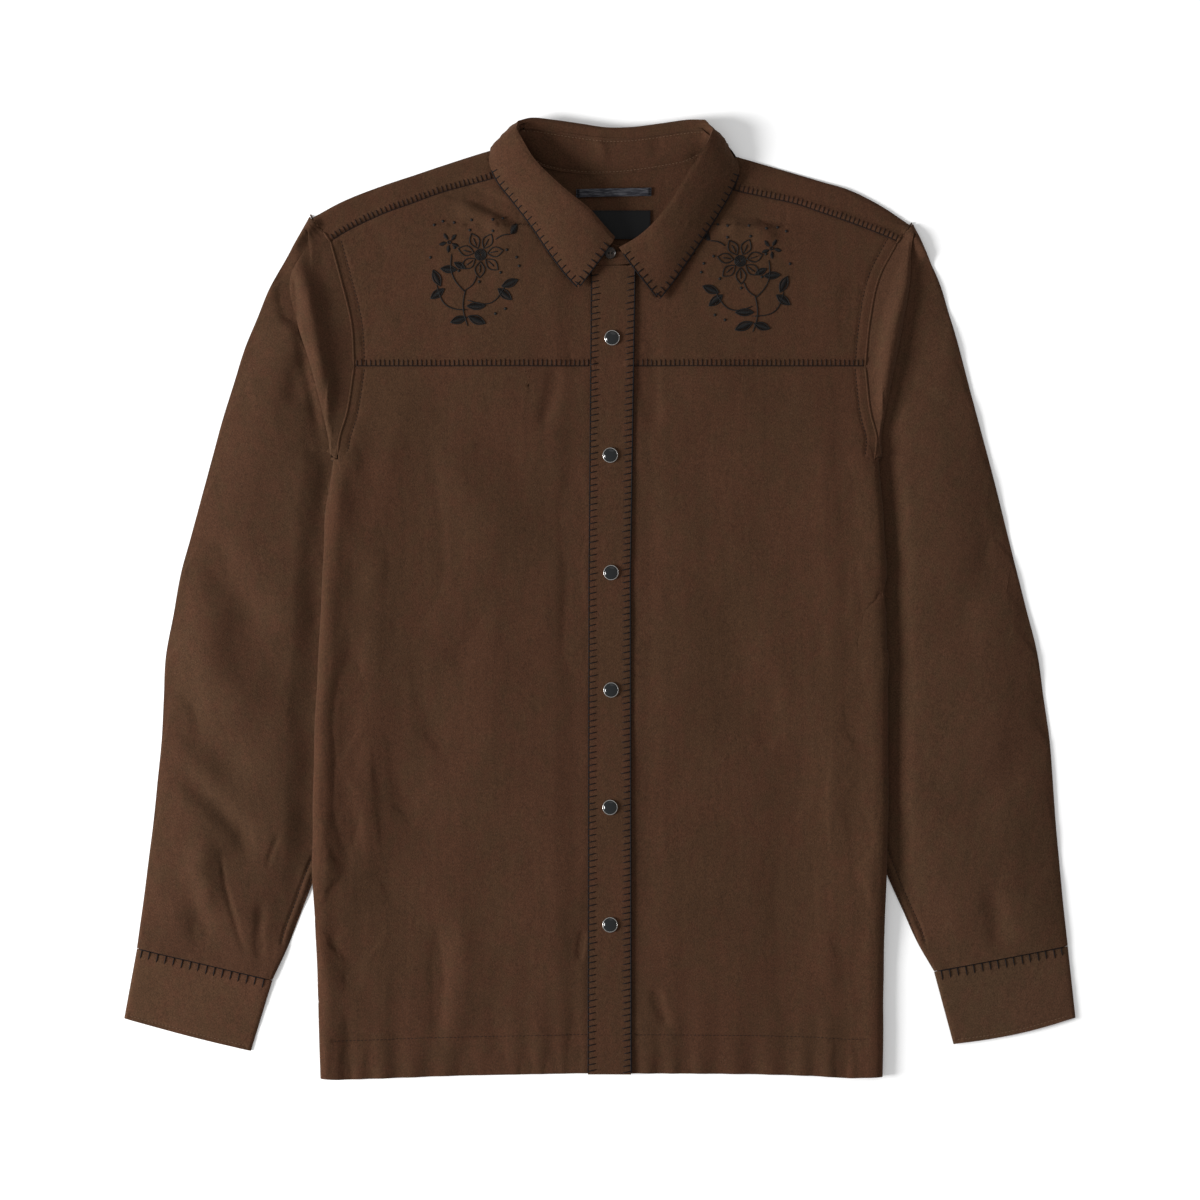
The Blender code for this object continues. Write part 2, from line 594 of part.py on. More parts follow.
def build_sleeve(side, finish, shift):
    """A tube of rings: seven at the armhole, pleat and armpit, then the sections down to the cuff."""
    table_rows = SLEEVE[side]
    tip_out, tip_y = EDGE[side]["out"][-1], EDGE[side]["y"][-1]
    last = (table_rows["outer_x"][0] - 2.4, table_rows["outer_y"][0] - 1.6)
    steps = np.linspace(0, 1, 7)
    start = (tip_out + 1.6, tip_y - 0.8)
    tip = [(start[0] + step * (last[0] - start[0]), start[1] + step * (last[1] - start[1]),
            FRONT_REST - 0.3 * step) for step in steps]
    front = armpit_columns(side) + [pleat_column(side, y) for y in ARM_ROWS] + [tip]
    back = []
    for number, column in enumerate(front):
        y = column[0][1]
        goal = column[-1]
        if number < 5:
            starts = [(132.5, 79.4), (170.0, 94.0)]
            first = starts[number] if number < 2 else (column[0][0], column[0][1])
            heights = [BACK_REST] * 7
        else:
            first = (column[0][0] + (0.9 if y < CHEST_SEAM_Y else 0.0), column[0][1])
            seam_z = layer_z(side, "back", 0.0, min(y, CHEST_SEAM_Y)) if number < 11 else BACK_REST
            heights = [seam_z, (seam_z + BACK_REST) / 2] + [BACK_REST] * 5
        path = [(first[0] + step * (goal[0] - first[0]), first[1] + step * (goal[1] - first[1]))
                for step in steps]
        back.append([(*point, z) for point, z in zip(path, heights)])
    front, back = np.array(front), np.array(back)
    count = len(front)
    top = front[:, -1, :2]
    outer = np.stack([table_rows["outer_x"], table_rows["outer_y"]], axis=1)
    inner = np.stack([table_rows["inner_x"], table_rows["inner_y"]], axis=1)
    across = (outer - inner) / np.linalg.norm(outer - inner, axis=1, keepdims=True)
    first_line = inner + 2.4 * across
    last_line = outer - 2.4 * across
    first_line[0], last_line[0] = top[0], top[-1]
    first_line[-1, 1] += ARMHOLE_GAP
    last_line[-1, 1] += ARMHOLE_GAP
    along = 0.5 * shares(first_line) + 0.5 * shares(last_line)
    even = np.linspace(0, 1, count)
    bottom = first_line[-1] + even[:, None] * (last_line[-1] - first_line[-1])
    rings = []
    for row in range(7):
        rings.append(ring_of(front[:, row], back[:, row], (inner[0] - top[0]) * 0.8, (0.8, 1.2)))
    for row in range(1, len(along)):
        down = along[row]
        share = (1 - down) * shares(top) + down * even
        line = (1 - down) * top + down * bottom
        low = first_line[row] - ((1 - down) * top[0] + down * bottom[0])
        high = last_line[row] - ((1 - down) * top[-1] + down * bottom[-1])
        line = line + (1 - share)[:, None] * low + share[:, None] * high
        front_row = [(x, y, BACK_REST + LAYER + sleeve_loft(side, x, y)) for x, y in line]
        back_row = [(x, y, BACK_REST) for x, y in line]
        rings.append(ring_of(front_row, back_row, -1.8 * across[row], 1.8 * across[row]))
    grid = np.array(rings)
    grid[..., 0] *= SIGN[side]
    return wall("sleeve_" + side, grid, finish, shift, ring=True)


def ring_of(front, back, inner_step, outer_step):
    """Joins a front row and a back row into a ring with a rolled edge at each end."""
    front, back = np.asarray(front, float), np.asarray(back, float)
    ends = []
    for index, step in ((0, inner_step), (-1, outer_step)):
        middle = (front[index] + back[index]) / 2
        ends.append(middle + np.array([step[0], step[1], 0.0]))
    return np.concatenate([front, ends[1][None], back[::-1], ends[0][None]])


def build_cuff(side, finish, shift):
    end = CUFF_END[side]
    outer_top = np.array([SLEEVE[side]["outer_x"][-1], SLEEVE[side]["outer_y"][-1]])
    inner_top = np.array([SLEEVE[side]["inner_x"][-1], SLEEVE[side]["inner_y"][-1]])
    outer_end, inner_end = np.array(end["outer"]), np.array(end["inner"])
    rings = []
    for down in np.linspace(0, 1, 5):
        outer = outer_top + down * (outer_end - outer_top)
        inner = inner_top + down * (inner_end - inner_top)
        across = (outer - inner) / np.linalg.norm(outer - inner)
        along = np.array([across[1], -across[0]])
        rows = []
        for share in np.linspace(0, 1, 7):
            place = inner + 2.4 * across + share * (outer - inner - 4.8 * across)
            bow = end["bow"] * down * np.sin(np.pi * share)
            puff = 1.0 * np.sin(np.pi * share) ** 0.6
            rows.append((*(place + bow * along), puff))
        front = [(x, y, BACK_REST + LAYER + puff) for x, y, puff in rows]
        back = [(x, y, BACK_REST) for x, y, puff in rows]
        rings.append(ring_of(front, back, -1.8 * across, 1.8 * across))
    grid = np.array(rings)
    grid[..., 0] *= SIGN[side]
    return wall("cuff_" + side, grid, finish, shift, ring=True)


# ---------------------------------------------------------------- collar


def collar_frames():
    """For each station: neck, fold and edge points, and the way from the leaf to the stand."""
    neck = np.stack([COLLAR["neck_" + axis] for axis in "xyz"], axis=1)
    fold = np.stack([COLLAR["fold_" + axis] for axis in "xyz"], axis=1)
    edge = np.stack([COLLAR["edge_" + axis] for axis in "xyz"], axis=1)
    ends = (edge[:, 0] == 0) & (edge[:, 1] == 0)
    tangent = np.gradient(fold, axis=0)
    hanging = np.where(ends[:, None], neck, (neck + edge) / 2) - fold
    down = hanging / np.linalg.norm(hanging, axis=1, keepdims=True)
    facing = -np.cross(tangent, down)
    facing /= np.linalg.norm(facing, axis=1, keepdims=True)
    return neck, fold, edge, down, facing


def build_stand(finish, shift):
    neck, fold, _, down, facing = collar_frames()
    high = fold + facing * COLLAR_TURN / 2
    rows = []
    for share in (0.0, 0.26, 0.52, STAND_SHARE):
        belly = STAND_BELLY * np.sin(np.pi * share)
        rows.append(neck + (high - neck) * share + facing * belly)
    return wall("collar_stand", rows, finish, shift, thickness=COLLAR_CLOTH)


def build_leaf(finish, shift):
    neck, fold, edge, down, facing = (part[1:-1] for part in collar_frames())
    high = fold + facing * COLLAR_TURN / 2
    start_share = STAND_SHARE + COLLAR_GAP / np.linalg.norm(high - neck, axis=1, keepdims=True)
    start = neck + (high - neck) * start_share + facing * STAND_BELLY * np.sin(np.pi * start_share)
    away = fold - facing * COLLAR_TURN / 2
    outer = away + down * 2.0
    rows = [start, high + down * 2.6, high * 0.92 + away * 0.08 + down * 0.9,
            (high + away) / 2 - down * 0.6, away + down * 0.5]
    for share in (0.0, 0.25, 0.5, 0.75, 1.0):
        belly = LEAF_BELLY * np.sin(np.pi * share)
        rows.append(outer + (edge - outer) * share - facing * belly)
    del rows[4]
    return wall("collar_leaf", rows, finish, shift, thickness=COLLAR_CLOTH)


# ---------------------------------------------------------------- trims


def build_strip(name, at, size, tilt, thickness, arch, finish, shift):
    """A short tape or label lying on the inside of the back yoke."""
    rows = []
    for y in (-size[1] / 2, 0.0, size[1] / 2):
        rows.append([
            (at[0] + x, at[1] + y + tilt * x, BACK_REST + CLOTH / 2 + SEAM + thickness / 2
             + arch * (1 - (2 * x / size[0]) ** 2))
            for x in np.linspace(-size[0] / 2, size[0] / 2, 9)
        ])
    return wall(name, rows, finish, shift, thickness=thickness)


def build_turned(name, centre, profile, finish, shift, axis=(0.0, 0.0, 1.0), sides=20):
    """A round piece turned about an axis, from a profile of radius and height."""
    axis = np.asarray(axis, float)
    across = np.cross((0.0, 1.0, 0.0), axis)
    across /= np.linalg.norm(across)
    along = np.cross(axis, across)
    vertices = [centre + profile[0][1] * axis]
    for radius, height in profile[1:-1]:
        for step in range(sides):
            angle = 2 * np.pi * step / sides
            round_it = across * np.cos(angle) + along * np.sin(angle)
            vertices.append(centre + radius * round_it + height * axis)
    vertices.append(centre + profile[-1][1] * axis)
    faces = []
    rings = len(profile) - 2
    for step in range(sides):
        after = (step + 1) % sides
        faces.append([0, 1 + after, 1 + step])
        for ring in range(rings - 1):
            low, high = 1 + ring * sides, 1 + (ring + 1) * sides
            faces.append([low + step, low + after, high + after, high + step])
        last = 1 + (rings - 1) * sides
        faces.append([last + step, last + after, len(vertices) - 1])
    return add_object(name, vertices, faces, finish, shift)


def build_snaps(finish, shift):
    base = BACK_REST + 3 * LAYER + CLOTH / 2 + SEAM
    profile = [(0, 0), (SNAP_RADIUS - 0.5, 0), (SNAP_RADIUS, 0.6), (SNAP_RADIUS - 0.2, 1.5),
               (SNAP_RADIUS - 1.2, 2.0), (SNAP_RADIUS * 0.55, SNAP_HEIGHT - 0.3), (0, SNAP_HEIGHT)]
    offsets = (1.1, -0.3, 0.3, 0.3, -0.5, -0.5)
    for number in range(SNAP_COUNT):
        centre = np.array([CENTRE_X + offsets[number], SNAP_FIRST_Y - number * SNAP_PITCH, base])
        build_turned(f"snap_{number + 1}", centre, profile, finish, shift)


def build_button(finish, shift):
    """The button lies on the stand's left end, which leans towards the neck."""
    neck, fold, _, _, facing = collar_frames()
    high = fold + facing * COLLAR_TURN / 2
    share = (neck[-2, 0] - BUTTON_AT[0]) / (neck[-2, 0] - neck[-1, 0])
    low_point = neck[-2] + share * (neck[-1] - neck[-2])
    high_point = high[-2] + share * (high[-1] - high[-2])
    up = (BUTTON_AT[1] - low_point[1]) / (high_point[1] - low_point[1])
    across = neck[-2] - neck[-1]
    outwards = np.cross(across, high_point - low_point)
    outwards /= np.linalg.norm(outwards)
    lift = COLLAR_CLOTH / 2 + SEAM - STAND_BELLY * np.sin(np.pi * up) + BUTTON_LIFT
    centre = low_point + up * (high_point - low_point) + lift * outwards
    profile = [(0, 0), (BUTTON_RADIUS - 0.5, 0), (BUTTON_RADIUS, 0.7), (BUTTON_RADIUS - 0.3, BUTTON_HEIGHT),
               (BUTTON_RADIUS - 1.4, BUTTON_HEIGHT - 0.3), (0, BUTTON_HEIGHT - 0.4)]
    build_turned("collar_button", centre, profile, finish, shift, axis=outwards)


# ---------------------------------------------------------------- the whole shirt


def main():
    for obj in list(bpy.data.objects):
        bpy.data.objects.remove(obj)
    cloth = material("brown_twill", (0.060, 0.030, 0.017), 0.85)
    tape = material("dark_tape", (0.02, 0.022, 0.03), 0.7)
    label = material("label_weave", (0.01, 0.01, 0.012), 0.6)
    metal = material("snap_metal", (0.35, 0.34, 0.33), 0.3, 0.9)
    horn = material("dark_horn", (0.03, 0.022, 0.018), 0.35)
    top_y = COLLAR["fold_y"].max()
    bottom_y = HEM_Y - HEM["drop"].max()
    shift = np.array([0.0, -(top_y + bottom_y) / 2, 0.0])

    build_back(cloth, shift)
    for side in ("right", "left"):
        build_front(side, cloth, shift)
        build_front_yoke(side, cloth, shift)
        build_sleeve(side, cloth, shift)
        build_cuff(side, cloth, shift)
    build_yoke(cloth, shift)
    build_placket(cloth, shift)
    build_stand(cloth, shift)
    build_leaf(cloth, shift)
    build_strip("hanger_loop", LOOP_AT, LOOP_SIZE, LOOP_TILT, 1.0, 0.8, tape, shift)
    build_strip("neck_label", LABEL_AT, LABEL_SIZE, 0.0, 1.0, 0.0, label, shift)
    build_snaps(metal, shift)
    build_button(horn, shift)


main()
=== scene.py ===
import math

import bmesh
import bpy
import numpy as np
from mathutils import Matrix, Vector, noise
from mathutils.bvhtree import BVHTree


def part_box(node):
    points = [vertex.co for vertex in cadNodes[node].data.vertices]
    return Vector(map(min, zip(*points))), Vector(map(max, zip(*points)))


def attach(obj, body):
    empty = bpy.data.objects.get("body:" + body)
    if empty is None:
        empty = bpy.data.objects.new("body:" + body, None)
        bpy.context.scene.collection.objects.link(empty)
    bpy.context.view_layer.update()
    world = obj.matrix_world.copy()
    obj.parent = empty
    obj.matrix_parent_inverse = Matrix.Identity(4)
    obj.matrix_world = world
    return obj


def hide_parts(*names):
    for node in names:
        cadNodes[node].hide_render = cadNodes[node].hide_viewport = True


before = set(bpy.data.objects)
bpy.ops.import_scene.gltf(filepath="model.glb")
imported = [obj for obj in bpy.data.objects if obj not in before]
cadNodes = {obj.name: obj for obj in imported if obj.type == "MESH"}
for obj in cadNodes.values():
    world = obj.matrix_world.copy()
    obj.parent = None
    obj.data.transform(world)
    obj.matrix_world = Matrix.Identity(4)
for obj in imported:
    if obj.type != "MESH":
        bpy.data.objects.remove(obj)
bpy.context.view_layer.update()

mm = 0.001
bothSides = (("right", -1), ("left", 1))


def linked(name, data):
    thing = bpy.data.objects.new(name, data)
    bpy.context.scene.collection.objects.link(thing)
    return thing


def setInputs(shader, **values):
    # _ stands for a space in an input's name
    for name, value in values.items():
        shader.inputs[name.replace("_", " ")].default_value = value


# Light, floor and camera

studio = {
    "lens": 100.0,
    "sensor": 36.0,
    "frameWidth": 960 * mm,
    "focusHeight": 3 * mm,
    "keyPlace": (-3.0, -0.4, 1.4),
    "keySize": 1.3,
    "keyPower": 190.0,
    "fillPlace": (0.3, 1.6, 1.2),
    "fillSize": 1.6,
    "fillPower": 2.5,
    "roomLight": 0.5,
    "floorSize": 6.0,
    "floorDrop": 0.05 * mm,
    "floorColour": (0.96, 0.96, 0.96, 1.0),
    "floorGlow": 0.08,
}


def addLamp(name, place, size, power):
    # A round lamp that points at the middle of the shirt
    data = bpy.data.lights.new(name, "AREA")
    data.shape = "DISK"
    data.size = size
    data.energy = power
    lamp = linked(name, data)
    lamp.location = place
    lamp.rotation_euler = (-Vector(place)).to_track_quat("-Z", "Y").to_euler()


def setUpStudio():
    scene = bpy.context.scene
    scene.view_settings.view_transform = "Standard"
    world = bpy.data.worlds.new("softRoom")
    world.use_nodes = True
    setInputs(world.node_tree.nodes["Background"], Color=(1, 1, 1, 1), Strength=studio["roomLight"])
    scene.world = world
    for lamp in ("key", "fill"):
        addLamp(lamp + "Lamp", studio[lamp + "Place"], studio[lamp + "Size"], studio[lamp + "Power"])

    half = studio["floorSize"] / 2
    corners = [(-half, -half, 0), (half, -half, 0), (half, half, 0), (-half, half, 0)]
    mesh = bpy.data.meshes.new("floor")
    mesh.from_pydata(corners, [], [(0, 1, 2, 3)])
    material = bpy.data.materials.new("paleFloor")
    material.use_nodes = True
    setInputs(material.node_tree.nodes["Principled BSDF"], Base_Color=studio["floorColour"], Roughness=0.9,
              Specular_IOR_Level=0.1, Emission_Color=(1, 1, 1, 1), Emission_Strength=studio["floorGlow"])
    mesh.materials.append(material)
    floor = linked("floor", mesh)
    floor.location.z = -studio["floorDrop"]

    data = bpy.data.cameras.new("overhead")
    data.lens = studio["lens"]
    data.sensor_width = studio["sensor"]
    camera = linked("overhead", data)
    camera.location = (0, 0, studio["frameWidth"] * data.lens / data.sensor_width + studio["focusHeight"])
    scene.camera = camera


setUpStudio()
print("studio: floor, lamps and camera are set")


# Fine cloth: each panel keeps its CAD form, rounded between the CAD's corners and cut into small triangles

fineCloth = {
    "sharpAngle": 50,  # degrees: a cloth edge turns more than this, a fold turns less
    "flatAngle": 0.4,  # degrees: what turns less than this is flat
    "longestStart": 80 * mm,
    "longestFlat": 40 * mm,
    "shownEdge": 3.4 * mm,
    "seamEdge": 1.7 * mm,  # within seamReach of a stitched line
    "seamReach": 7,
    "smallEdge": 1.6 * mm,  # on the loop and the label
    "hiddenEdge": 11 * mm,
    "cover": 0.7 * mm,  # what lies this far below something else is hidden
    "straightRim": 0.8,  # an edge of the cloth is rounded where the cosine of its turn is over this
    "mostRise": 0.06,  # how far a cut edge's middle may rise, as a share of its length
    "mostPasses": 8,
    "evenRounds": 4,
    "slide": 0.5,
    "mapHalf": 500,  # half the width of the map of stitched lines, in 1 mm squares
    "above": 100 * mm,  # higher than everything, where the rays that look down start
    "tiny": 1e-12,
}
openTurn = 9.0  # stands for the turn at the cloth's own edge


def unit(vectors):
    return vectors / np.maximum(np.linalg.norm(vectors, axis=-1, keepdims=True), fineCloth["tiny"])


def dot(first, second):
    return (first * second).sum(axis=-1, keepdims=True)


def bmeshOf(points, faces):
    bm = bmesh.new()
    places = [bm.verts.new(place) for place in points]
    for face in faces:
        bm.faces.new([places[k] for k in face])
    return bm


def trianglesOf(bm):
    return np.array([[v.index for v in f.verts] for f in bm.faces])


def meshFromNode(node):
    # The welded solid as points, corners that stand on them, and triangles of corners
    bm = bmesh.new()
    bm.from_mesh(cadNodes[node].data)
    bmesh.ops.remove_doubles(bm, verts=bm.verts, dist=1e-6)
    sharp = math.radians(fineCloth["sharpAngle"])
    bmesh.ops.split_edges(bm, edges=[e for e in bm.edges if e.calc_face_angle(0) > sharp])
    bm.verts.index_update()
    corners = np.array([v.co for v in bm.verts])
    triangles = trianglesOf(bm)
    bm.free()
    _, root = np.unique(np.round(corners, 7), axis=0, return_inverse=True)
    root = root.reshape(-1)
    points = np.zeros((root.max() + 1, 3))
    points[root] = corners
    return points, root, triangles


def bendOf(points, root, triangles, corner, ofTriangle):
    # How much the surface turns across each edge, in radians
    facing = unit(facingOf(points, root[triangles]))
    flat = ofTriangle.ravel()
    order = np.argsort(flat, kind="stable")
    first = np.searchsorted(flat[order], np.arange(len(corner)))
    last = np.searchsorted(flat[order], np.arange(len(corner)), side="right") - 1
    both = (facing[order[first] // 3] * facing[order[last] // 3]).sum(axis=1)
    return np.where(first == last, openTurn, np.arccos(np.clip(both, -1, 1)))


def evenFlats(points, root, triangles):
    # Cuts the long triangles of the flat parts and swaps their edges until they are well shaped
    flatTurn = math.radians(fineCloth["flatAngle"])
    for _ in range(fineCloth["mostPasses"]):
        corner, edge, toPoint, _, ofTriangle = edgesOf(root, triangles)
        turn = np.zeros(len(edge))
        np.maximum.at(turn, toPoint, bendOf(points, root, triangles, corner, ofTriangle))
        turn = np.where(turn == openTurn, 0.0, turn)
        length = np.linalg.norm(points[edge[:, 0]] - points[edge[:, 1]], axis=1)
        cut = length > np.where(turn < flatTurn, fineCloth["longestFlat"], fineCloth["longestStart"])
        if not cut.any():
            break
        points, _, root, _, triangles = refinedOnce(
            points, np.zeros_like(points), root, np.zeros((len(root), 3)), triangles,
            lambda middle, long: cut, rounded=False)
    bm = bmeshOf(points[root], triangles)
    bm.verts.index_update()
    flat = [e for e in bm.edges if e.calc_face_angle(1) < flatTurn]
    bmesh.ops.beautify_fill(bm, faces=bm.faces, edges=flat, method="ANGLE")
    triangles = trianglesOf(bm)
    bm.free()
    return points, root, triangles


def facingOf(points, faces):
    a, b, c = (points[faces[:, k]] for k in range(3))
    return np.cross(b - a, c - a)


def normalsOf(points, faces, count, at=None):
    # Area-weighted normals of the points, or of the corners in at
    at = faces if at is None else at
    facing = facingOf(points, faces)
    normals = np.zeros((count, 3))
    for k in range(3):
        for axis in range(3):
            normals[:, axis] += np.bincount(at[:, k], facing[:, axis], count)
    return unit(normals)


def uniquePairs(first, second, count):
    # The unique pairs of numbers below count, with what np.unique says of them
    unique, which, times = np.unique(first * count + second, return_inverse=True, return_counts=True)
    return np.stack([unique // count, unique % count], axis=1), which, times


def edgesOf(root, triangles):
    # Edges between corners and between points, each triangle's three, and which are the cloth's own edge
    pairs = np.concatenate([triangles[:, [0, 1]], triangles[:, [1, 2]], triangles[:, [2, 0]]])
    corner, which, count = uniquePairs(pairs.min(axis=1), pairs.max(axis=1), len(root))
    swapped = root[corner[:, 0]] > root[corner[:, 1]]
    corner[swapped] = corner[swapped][:, ::-1]
    point, toPoint, _ = uniquePairs(root[corner[:, 0]], root[corner[:, 1]], len(root))
    rim = np.zeros(len(point), bool)
    rim[toPoint[count == 1]] = True
    return corner, point, toPoint, rim, which.reshape(3, -1).T


def rimDirections(points, root, triangles):
    # Which way the cloth's edge runs at each point, or nothing at a corner
    _, edges, _, rim, _ = edgesOf(root, triangles)
    beside = {}
    for a, b in edges[rim]:
        beside.setdefault(a, []).append(b)
        beside.setdefault(b, []).append(a)
    directions = np.zeros_like(points)
    for at, ends in beside.items():
        if len(ends) == 2:
            before, after = unit(points[at] - points[ends[0]]), unit(points[ends[1]] - points[at])
            if before @ after > fineCloth["straightRim"]:
                directions[at] = unit(before + after)
    return directions


def cutTriangles(points, root, triangles, middles):
    # Each triangle in one to four, by which of its edges has a middle; turned so that those come first
    made = middles >= 0
    count = made.sum(axis=1)
    turn = np.zeros(len(triangles), int)
    turn[count == 1] = np.argmax(made[count == 1], axis=1)
    turn[count == 2] = (np.argmin(made[count == 2], axis=1) + 1) % 3
    columns = (turn[:, None] + np.arange(3)) % 3
    # Columns 0 to 2 are a triangle's corners, and 3 to 5 the middles of its edges
    both = np.hstack([np.take_along_axis(part, columns, axis=1) for part in (triangles, middles)])
    rest = both[count == 2][:, [0, 3, 4, 2]]
    across = points[root[rest]]
    shorter = (np.linalg.norm(across[:, 0] - across[:, 2], axis=1)
               < np.linalg.norm(across[:, 1] - across[:, 3], axis=1))
    cuts = (
        (both[count == 0], ([0, 1, 2],)),
        (both[count == 1], ([0, 3, 2], [3, 1, 2])),
        (both[count == 2], ([3, 1, 4],)),
        (rest[shorter], ([0, 1, 2], [0, 2, 3])),
        (rest[~shorter], ([0, 1, 3], [1, 2, 3])),
        (both[count == 3], ([0, 3, 5], [3, 1, 4], [5, 4, 2], [3, 4, 5])),
    )
    return np.concatenate([part[:, pick] for part, picks in cuts for pick in picks])


def refinedOnce(points, directions, root, normals, triangles, tooLong, rounded=True):
    # Cuts long edges at middles that lie on the rounded surface; None when no edge is too long
    corner, edge, toPoint, rim, ofTriangle = edgesOf(root, triangles)
    a, b = points[edge[:, 0]], points[edge[:, 1]]
    middle, chord = (a + b) / 2, b - a
    length = np.linalg.norm(chord, axis=1)
    cut = tooLong(middle, length)
    if not cut.any():
        return None
    run = chord[toPoint]
    na, nb = normals[corner[:, 0]], normals[corner[:, 1]]
    rise = np.zeros_like(middle)
    rise[toPoint] = (dot(run, nb) * nb - dot(run, na) * na) / 8
    ahead = unit(chord)
    da, db = (directions[edge[:, k]] for k in range(2))
    da, db = (np.where(d.any(axis=1, keepdims=True), d * np.sign(dot(d, chord)), ahead) for d in (da, db))
    rise[rim] = ((da - db) * length[:, None] / 8)[rim]
    tall = np.maximum(np.linalg.norm(rise, axis=1), fineCloth["tiny"])
    rise *= rounded * np.minimum(1, fineCloth["mostRise"] * length / tall)[:, None]
    along = np.where(rim[:, None], unit(1.5 * ahead - (da + db) / 4), 0)
    cutCorner = cut[toPoint]
    newPoint, newCorner = np.full(len(edge), -1), np.full(len(corner), -1)
    newPoint[cut] = len(points) + np.arange(cut.sum())
    newCorner[cutCorner] = len(root) + np.arange(cutCorner.sum())
    tilt = 2 * dot(run, na + nb) / np.maximum(dot(run, run), 1e-18)
    points = np.concatenate([points, (middle + rise)[cut]])
    directions = np.concatenate([directions, along[cut]])
    root = np.concatenate([root, newPoint[toPoint[cutCorner]]])
    normals = np.concatenate([normals, unit(na + nb - tilt * run)[cutCorner]])
    return points, directions, root, normals, cutTriangles(points, root, triangles, newCorner[ofTriangle])


def evened(points, root, triangles):
    # Slides points along the surface towards the middle of their neighbours
    _, edge, _, rim, _ = edgesOf(root, triangles)
    fixed = np.unique(edge[rim])
    both = np.concatenate([edge, edge[:, ::-1]])
    size = len(points)
    count = np.maximum(np.bincount(both[:, 0], minlength=size), 1)[:, None]
    for _ in range(fineCloth["evenRounds"]):
        total = np.stack([np.bincount(both[:, 0], points[both[:, 1], k], size) for k in range(3)], axis=1)
        step = total / count - points
        normals = normalsOf(points, root[triangles], size)
        step -= dot(step, normals) * normals
        step[fixed] = 0
        points = points + fineCloth["slide"] * step
    return points


def treeOf(shells):
    # One search tree over several shells
    points, faces, start = [], [], 0
    for shell in shells:
        points.append(shell["points"])
        faces.append(shell["faces"] + start)
        start += len(shell["points"])
    return BVHTree.FromPolygons(np.concatenate(points).tolist(), np.concatenate(faces).tolist())


def heightOver(tree, x, y):
    # The height of the highest surface over each place, and 0 where there is none
    down, heights = Vector((0, 0, -1)), np.zeros(len(x))
    for number, place in enumerate(zip(x.tolist(), y.tolist())):
        hit = tree.ray_cast(Vector((*place, fineCloth["above"])), down)[0]
        if hit:
            heights[number] = hit.z
    return heights


def shellOf(points, root, triangles):
    return {"points": points, "root": root, "triangles": triangles, "faces": root[triangles]}


def markNear(lines):
    # A map of 1 mm squares, true near a stitched line
    half, reach = fineCloth["mapHalf"], fineCloth["seamReach"]
    near = np.zeros((2 * half, 2 * half), bool)
    for line in lines:
        for x, y, _ in line / mm:
            column, row = int(x) + half, int(y) + half
            near[row - reach:row + reach + 1, column - reach:column + reach + 1] = True
    return near


def refineAll(coarse, near, small):
    tree = treeOf(coarse.values())

    def tooLong(middle, length):
        place = (middle / mm).astype(int) + fineCloth["mapHalf"]
        limit = np.where(near[place[:, 1], place[:, 0]], fineCloth["seamEdge"], fineCloth["shownEdge"])
        limit = np.where(isSmall, fineCloth["smallEdge"], limit)
        long = length > fineCloth["hiddenEdge"]
        asked = np.flatnonzero(~long & (length > limit))
        over = heightOver(tree, middle[asked, 0], middle[asked, 1])
        long[asked] = over - middle[asked, 2] < fineCloth["cover"]
        return long

    shells = {}
    for node, start in coarse.items():
        isSmall = node in small
        points, root, triangles = start["points"], start["root"], start["triangles"]
        state = (points, rimDirections(points, root, triangles), root,
                 normalsOf(points, root[triangles], len(root), at=triangles), triangles)
        for _ in range(fineCloth["mostPasses"]):
            after = refinedOnce(*state, tooLong)
            if after is None:
                break
            state = after
        points, _, root, _, triangles = state
        shells[node] = shellOf(evened(points, root, triangles), root, triangles)
    return shells


# Relief: what the laid cloth does on top of its form. Places are in millimetres on the surface

handling = {
    "strength": 2.4,  # how strongly the creases are pressed in
    "lowest": -0.45,
    "layer": 1.35 * mm,  # only the uppermost cloth moves
    "broad": (58, 2.1, 3.0),  # size, height and seed of the broad unevenness
    "small": (17, 0.28, 11.0),
    "calm": 0.6,  # share of the unevenness on the wearer's left, which lies flatter
    "loft": 1.4,  # how far the fronts stand off the back, between their edges
    "bodyTop": 300,
    "placketMiddle": 8.5,
    "placketShare": 0.12,  # how much of the relief the stiff placket takes on
    "placketTop": 262,
    "quietTop": 292,  # below this the rolled sides keep their form
    "sideRoll": (7, 8, 2.0, 1.1),  # its place in from the edge, half width and heights, right and left
    "leftSideDent": (196, 234, -60, 36),  # left, right, bottom and top of a dent that is filled
    "dentBlend": 10,
    "hemRipple": (21, 0.9, 34),  # pitch, height and reach up from the hem
    "hemSway": (3, 37.0),  # how far the ripples wander, and over what distance
    "hemLine": -380,
    "hemTop": -250,
    "sleeveLoft": 4.0,
    "sleeveRise": 46,  # how far in from its folds a sleeve reaches that height
    "capFlat": 0.85,  # how much less the left cap stands up, beside the pleat
    "underArm": 120,
    "share": {"collar": 0.5, "cuff": 0.6, "placket": 0.35},  # of the relief, on the stiffer pieces
    # Where the edges are read: from, to, step, and how far to each side of a step
    "sideSteps": (-385, 296, 7.0, 8),
    "sleeveSteps": (-300, 306, 6.0, 6),
    "thinnest": 0.1 * mm,
    "offFloor": 0.05 * mm,
}
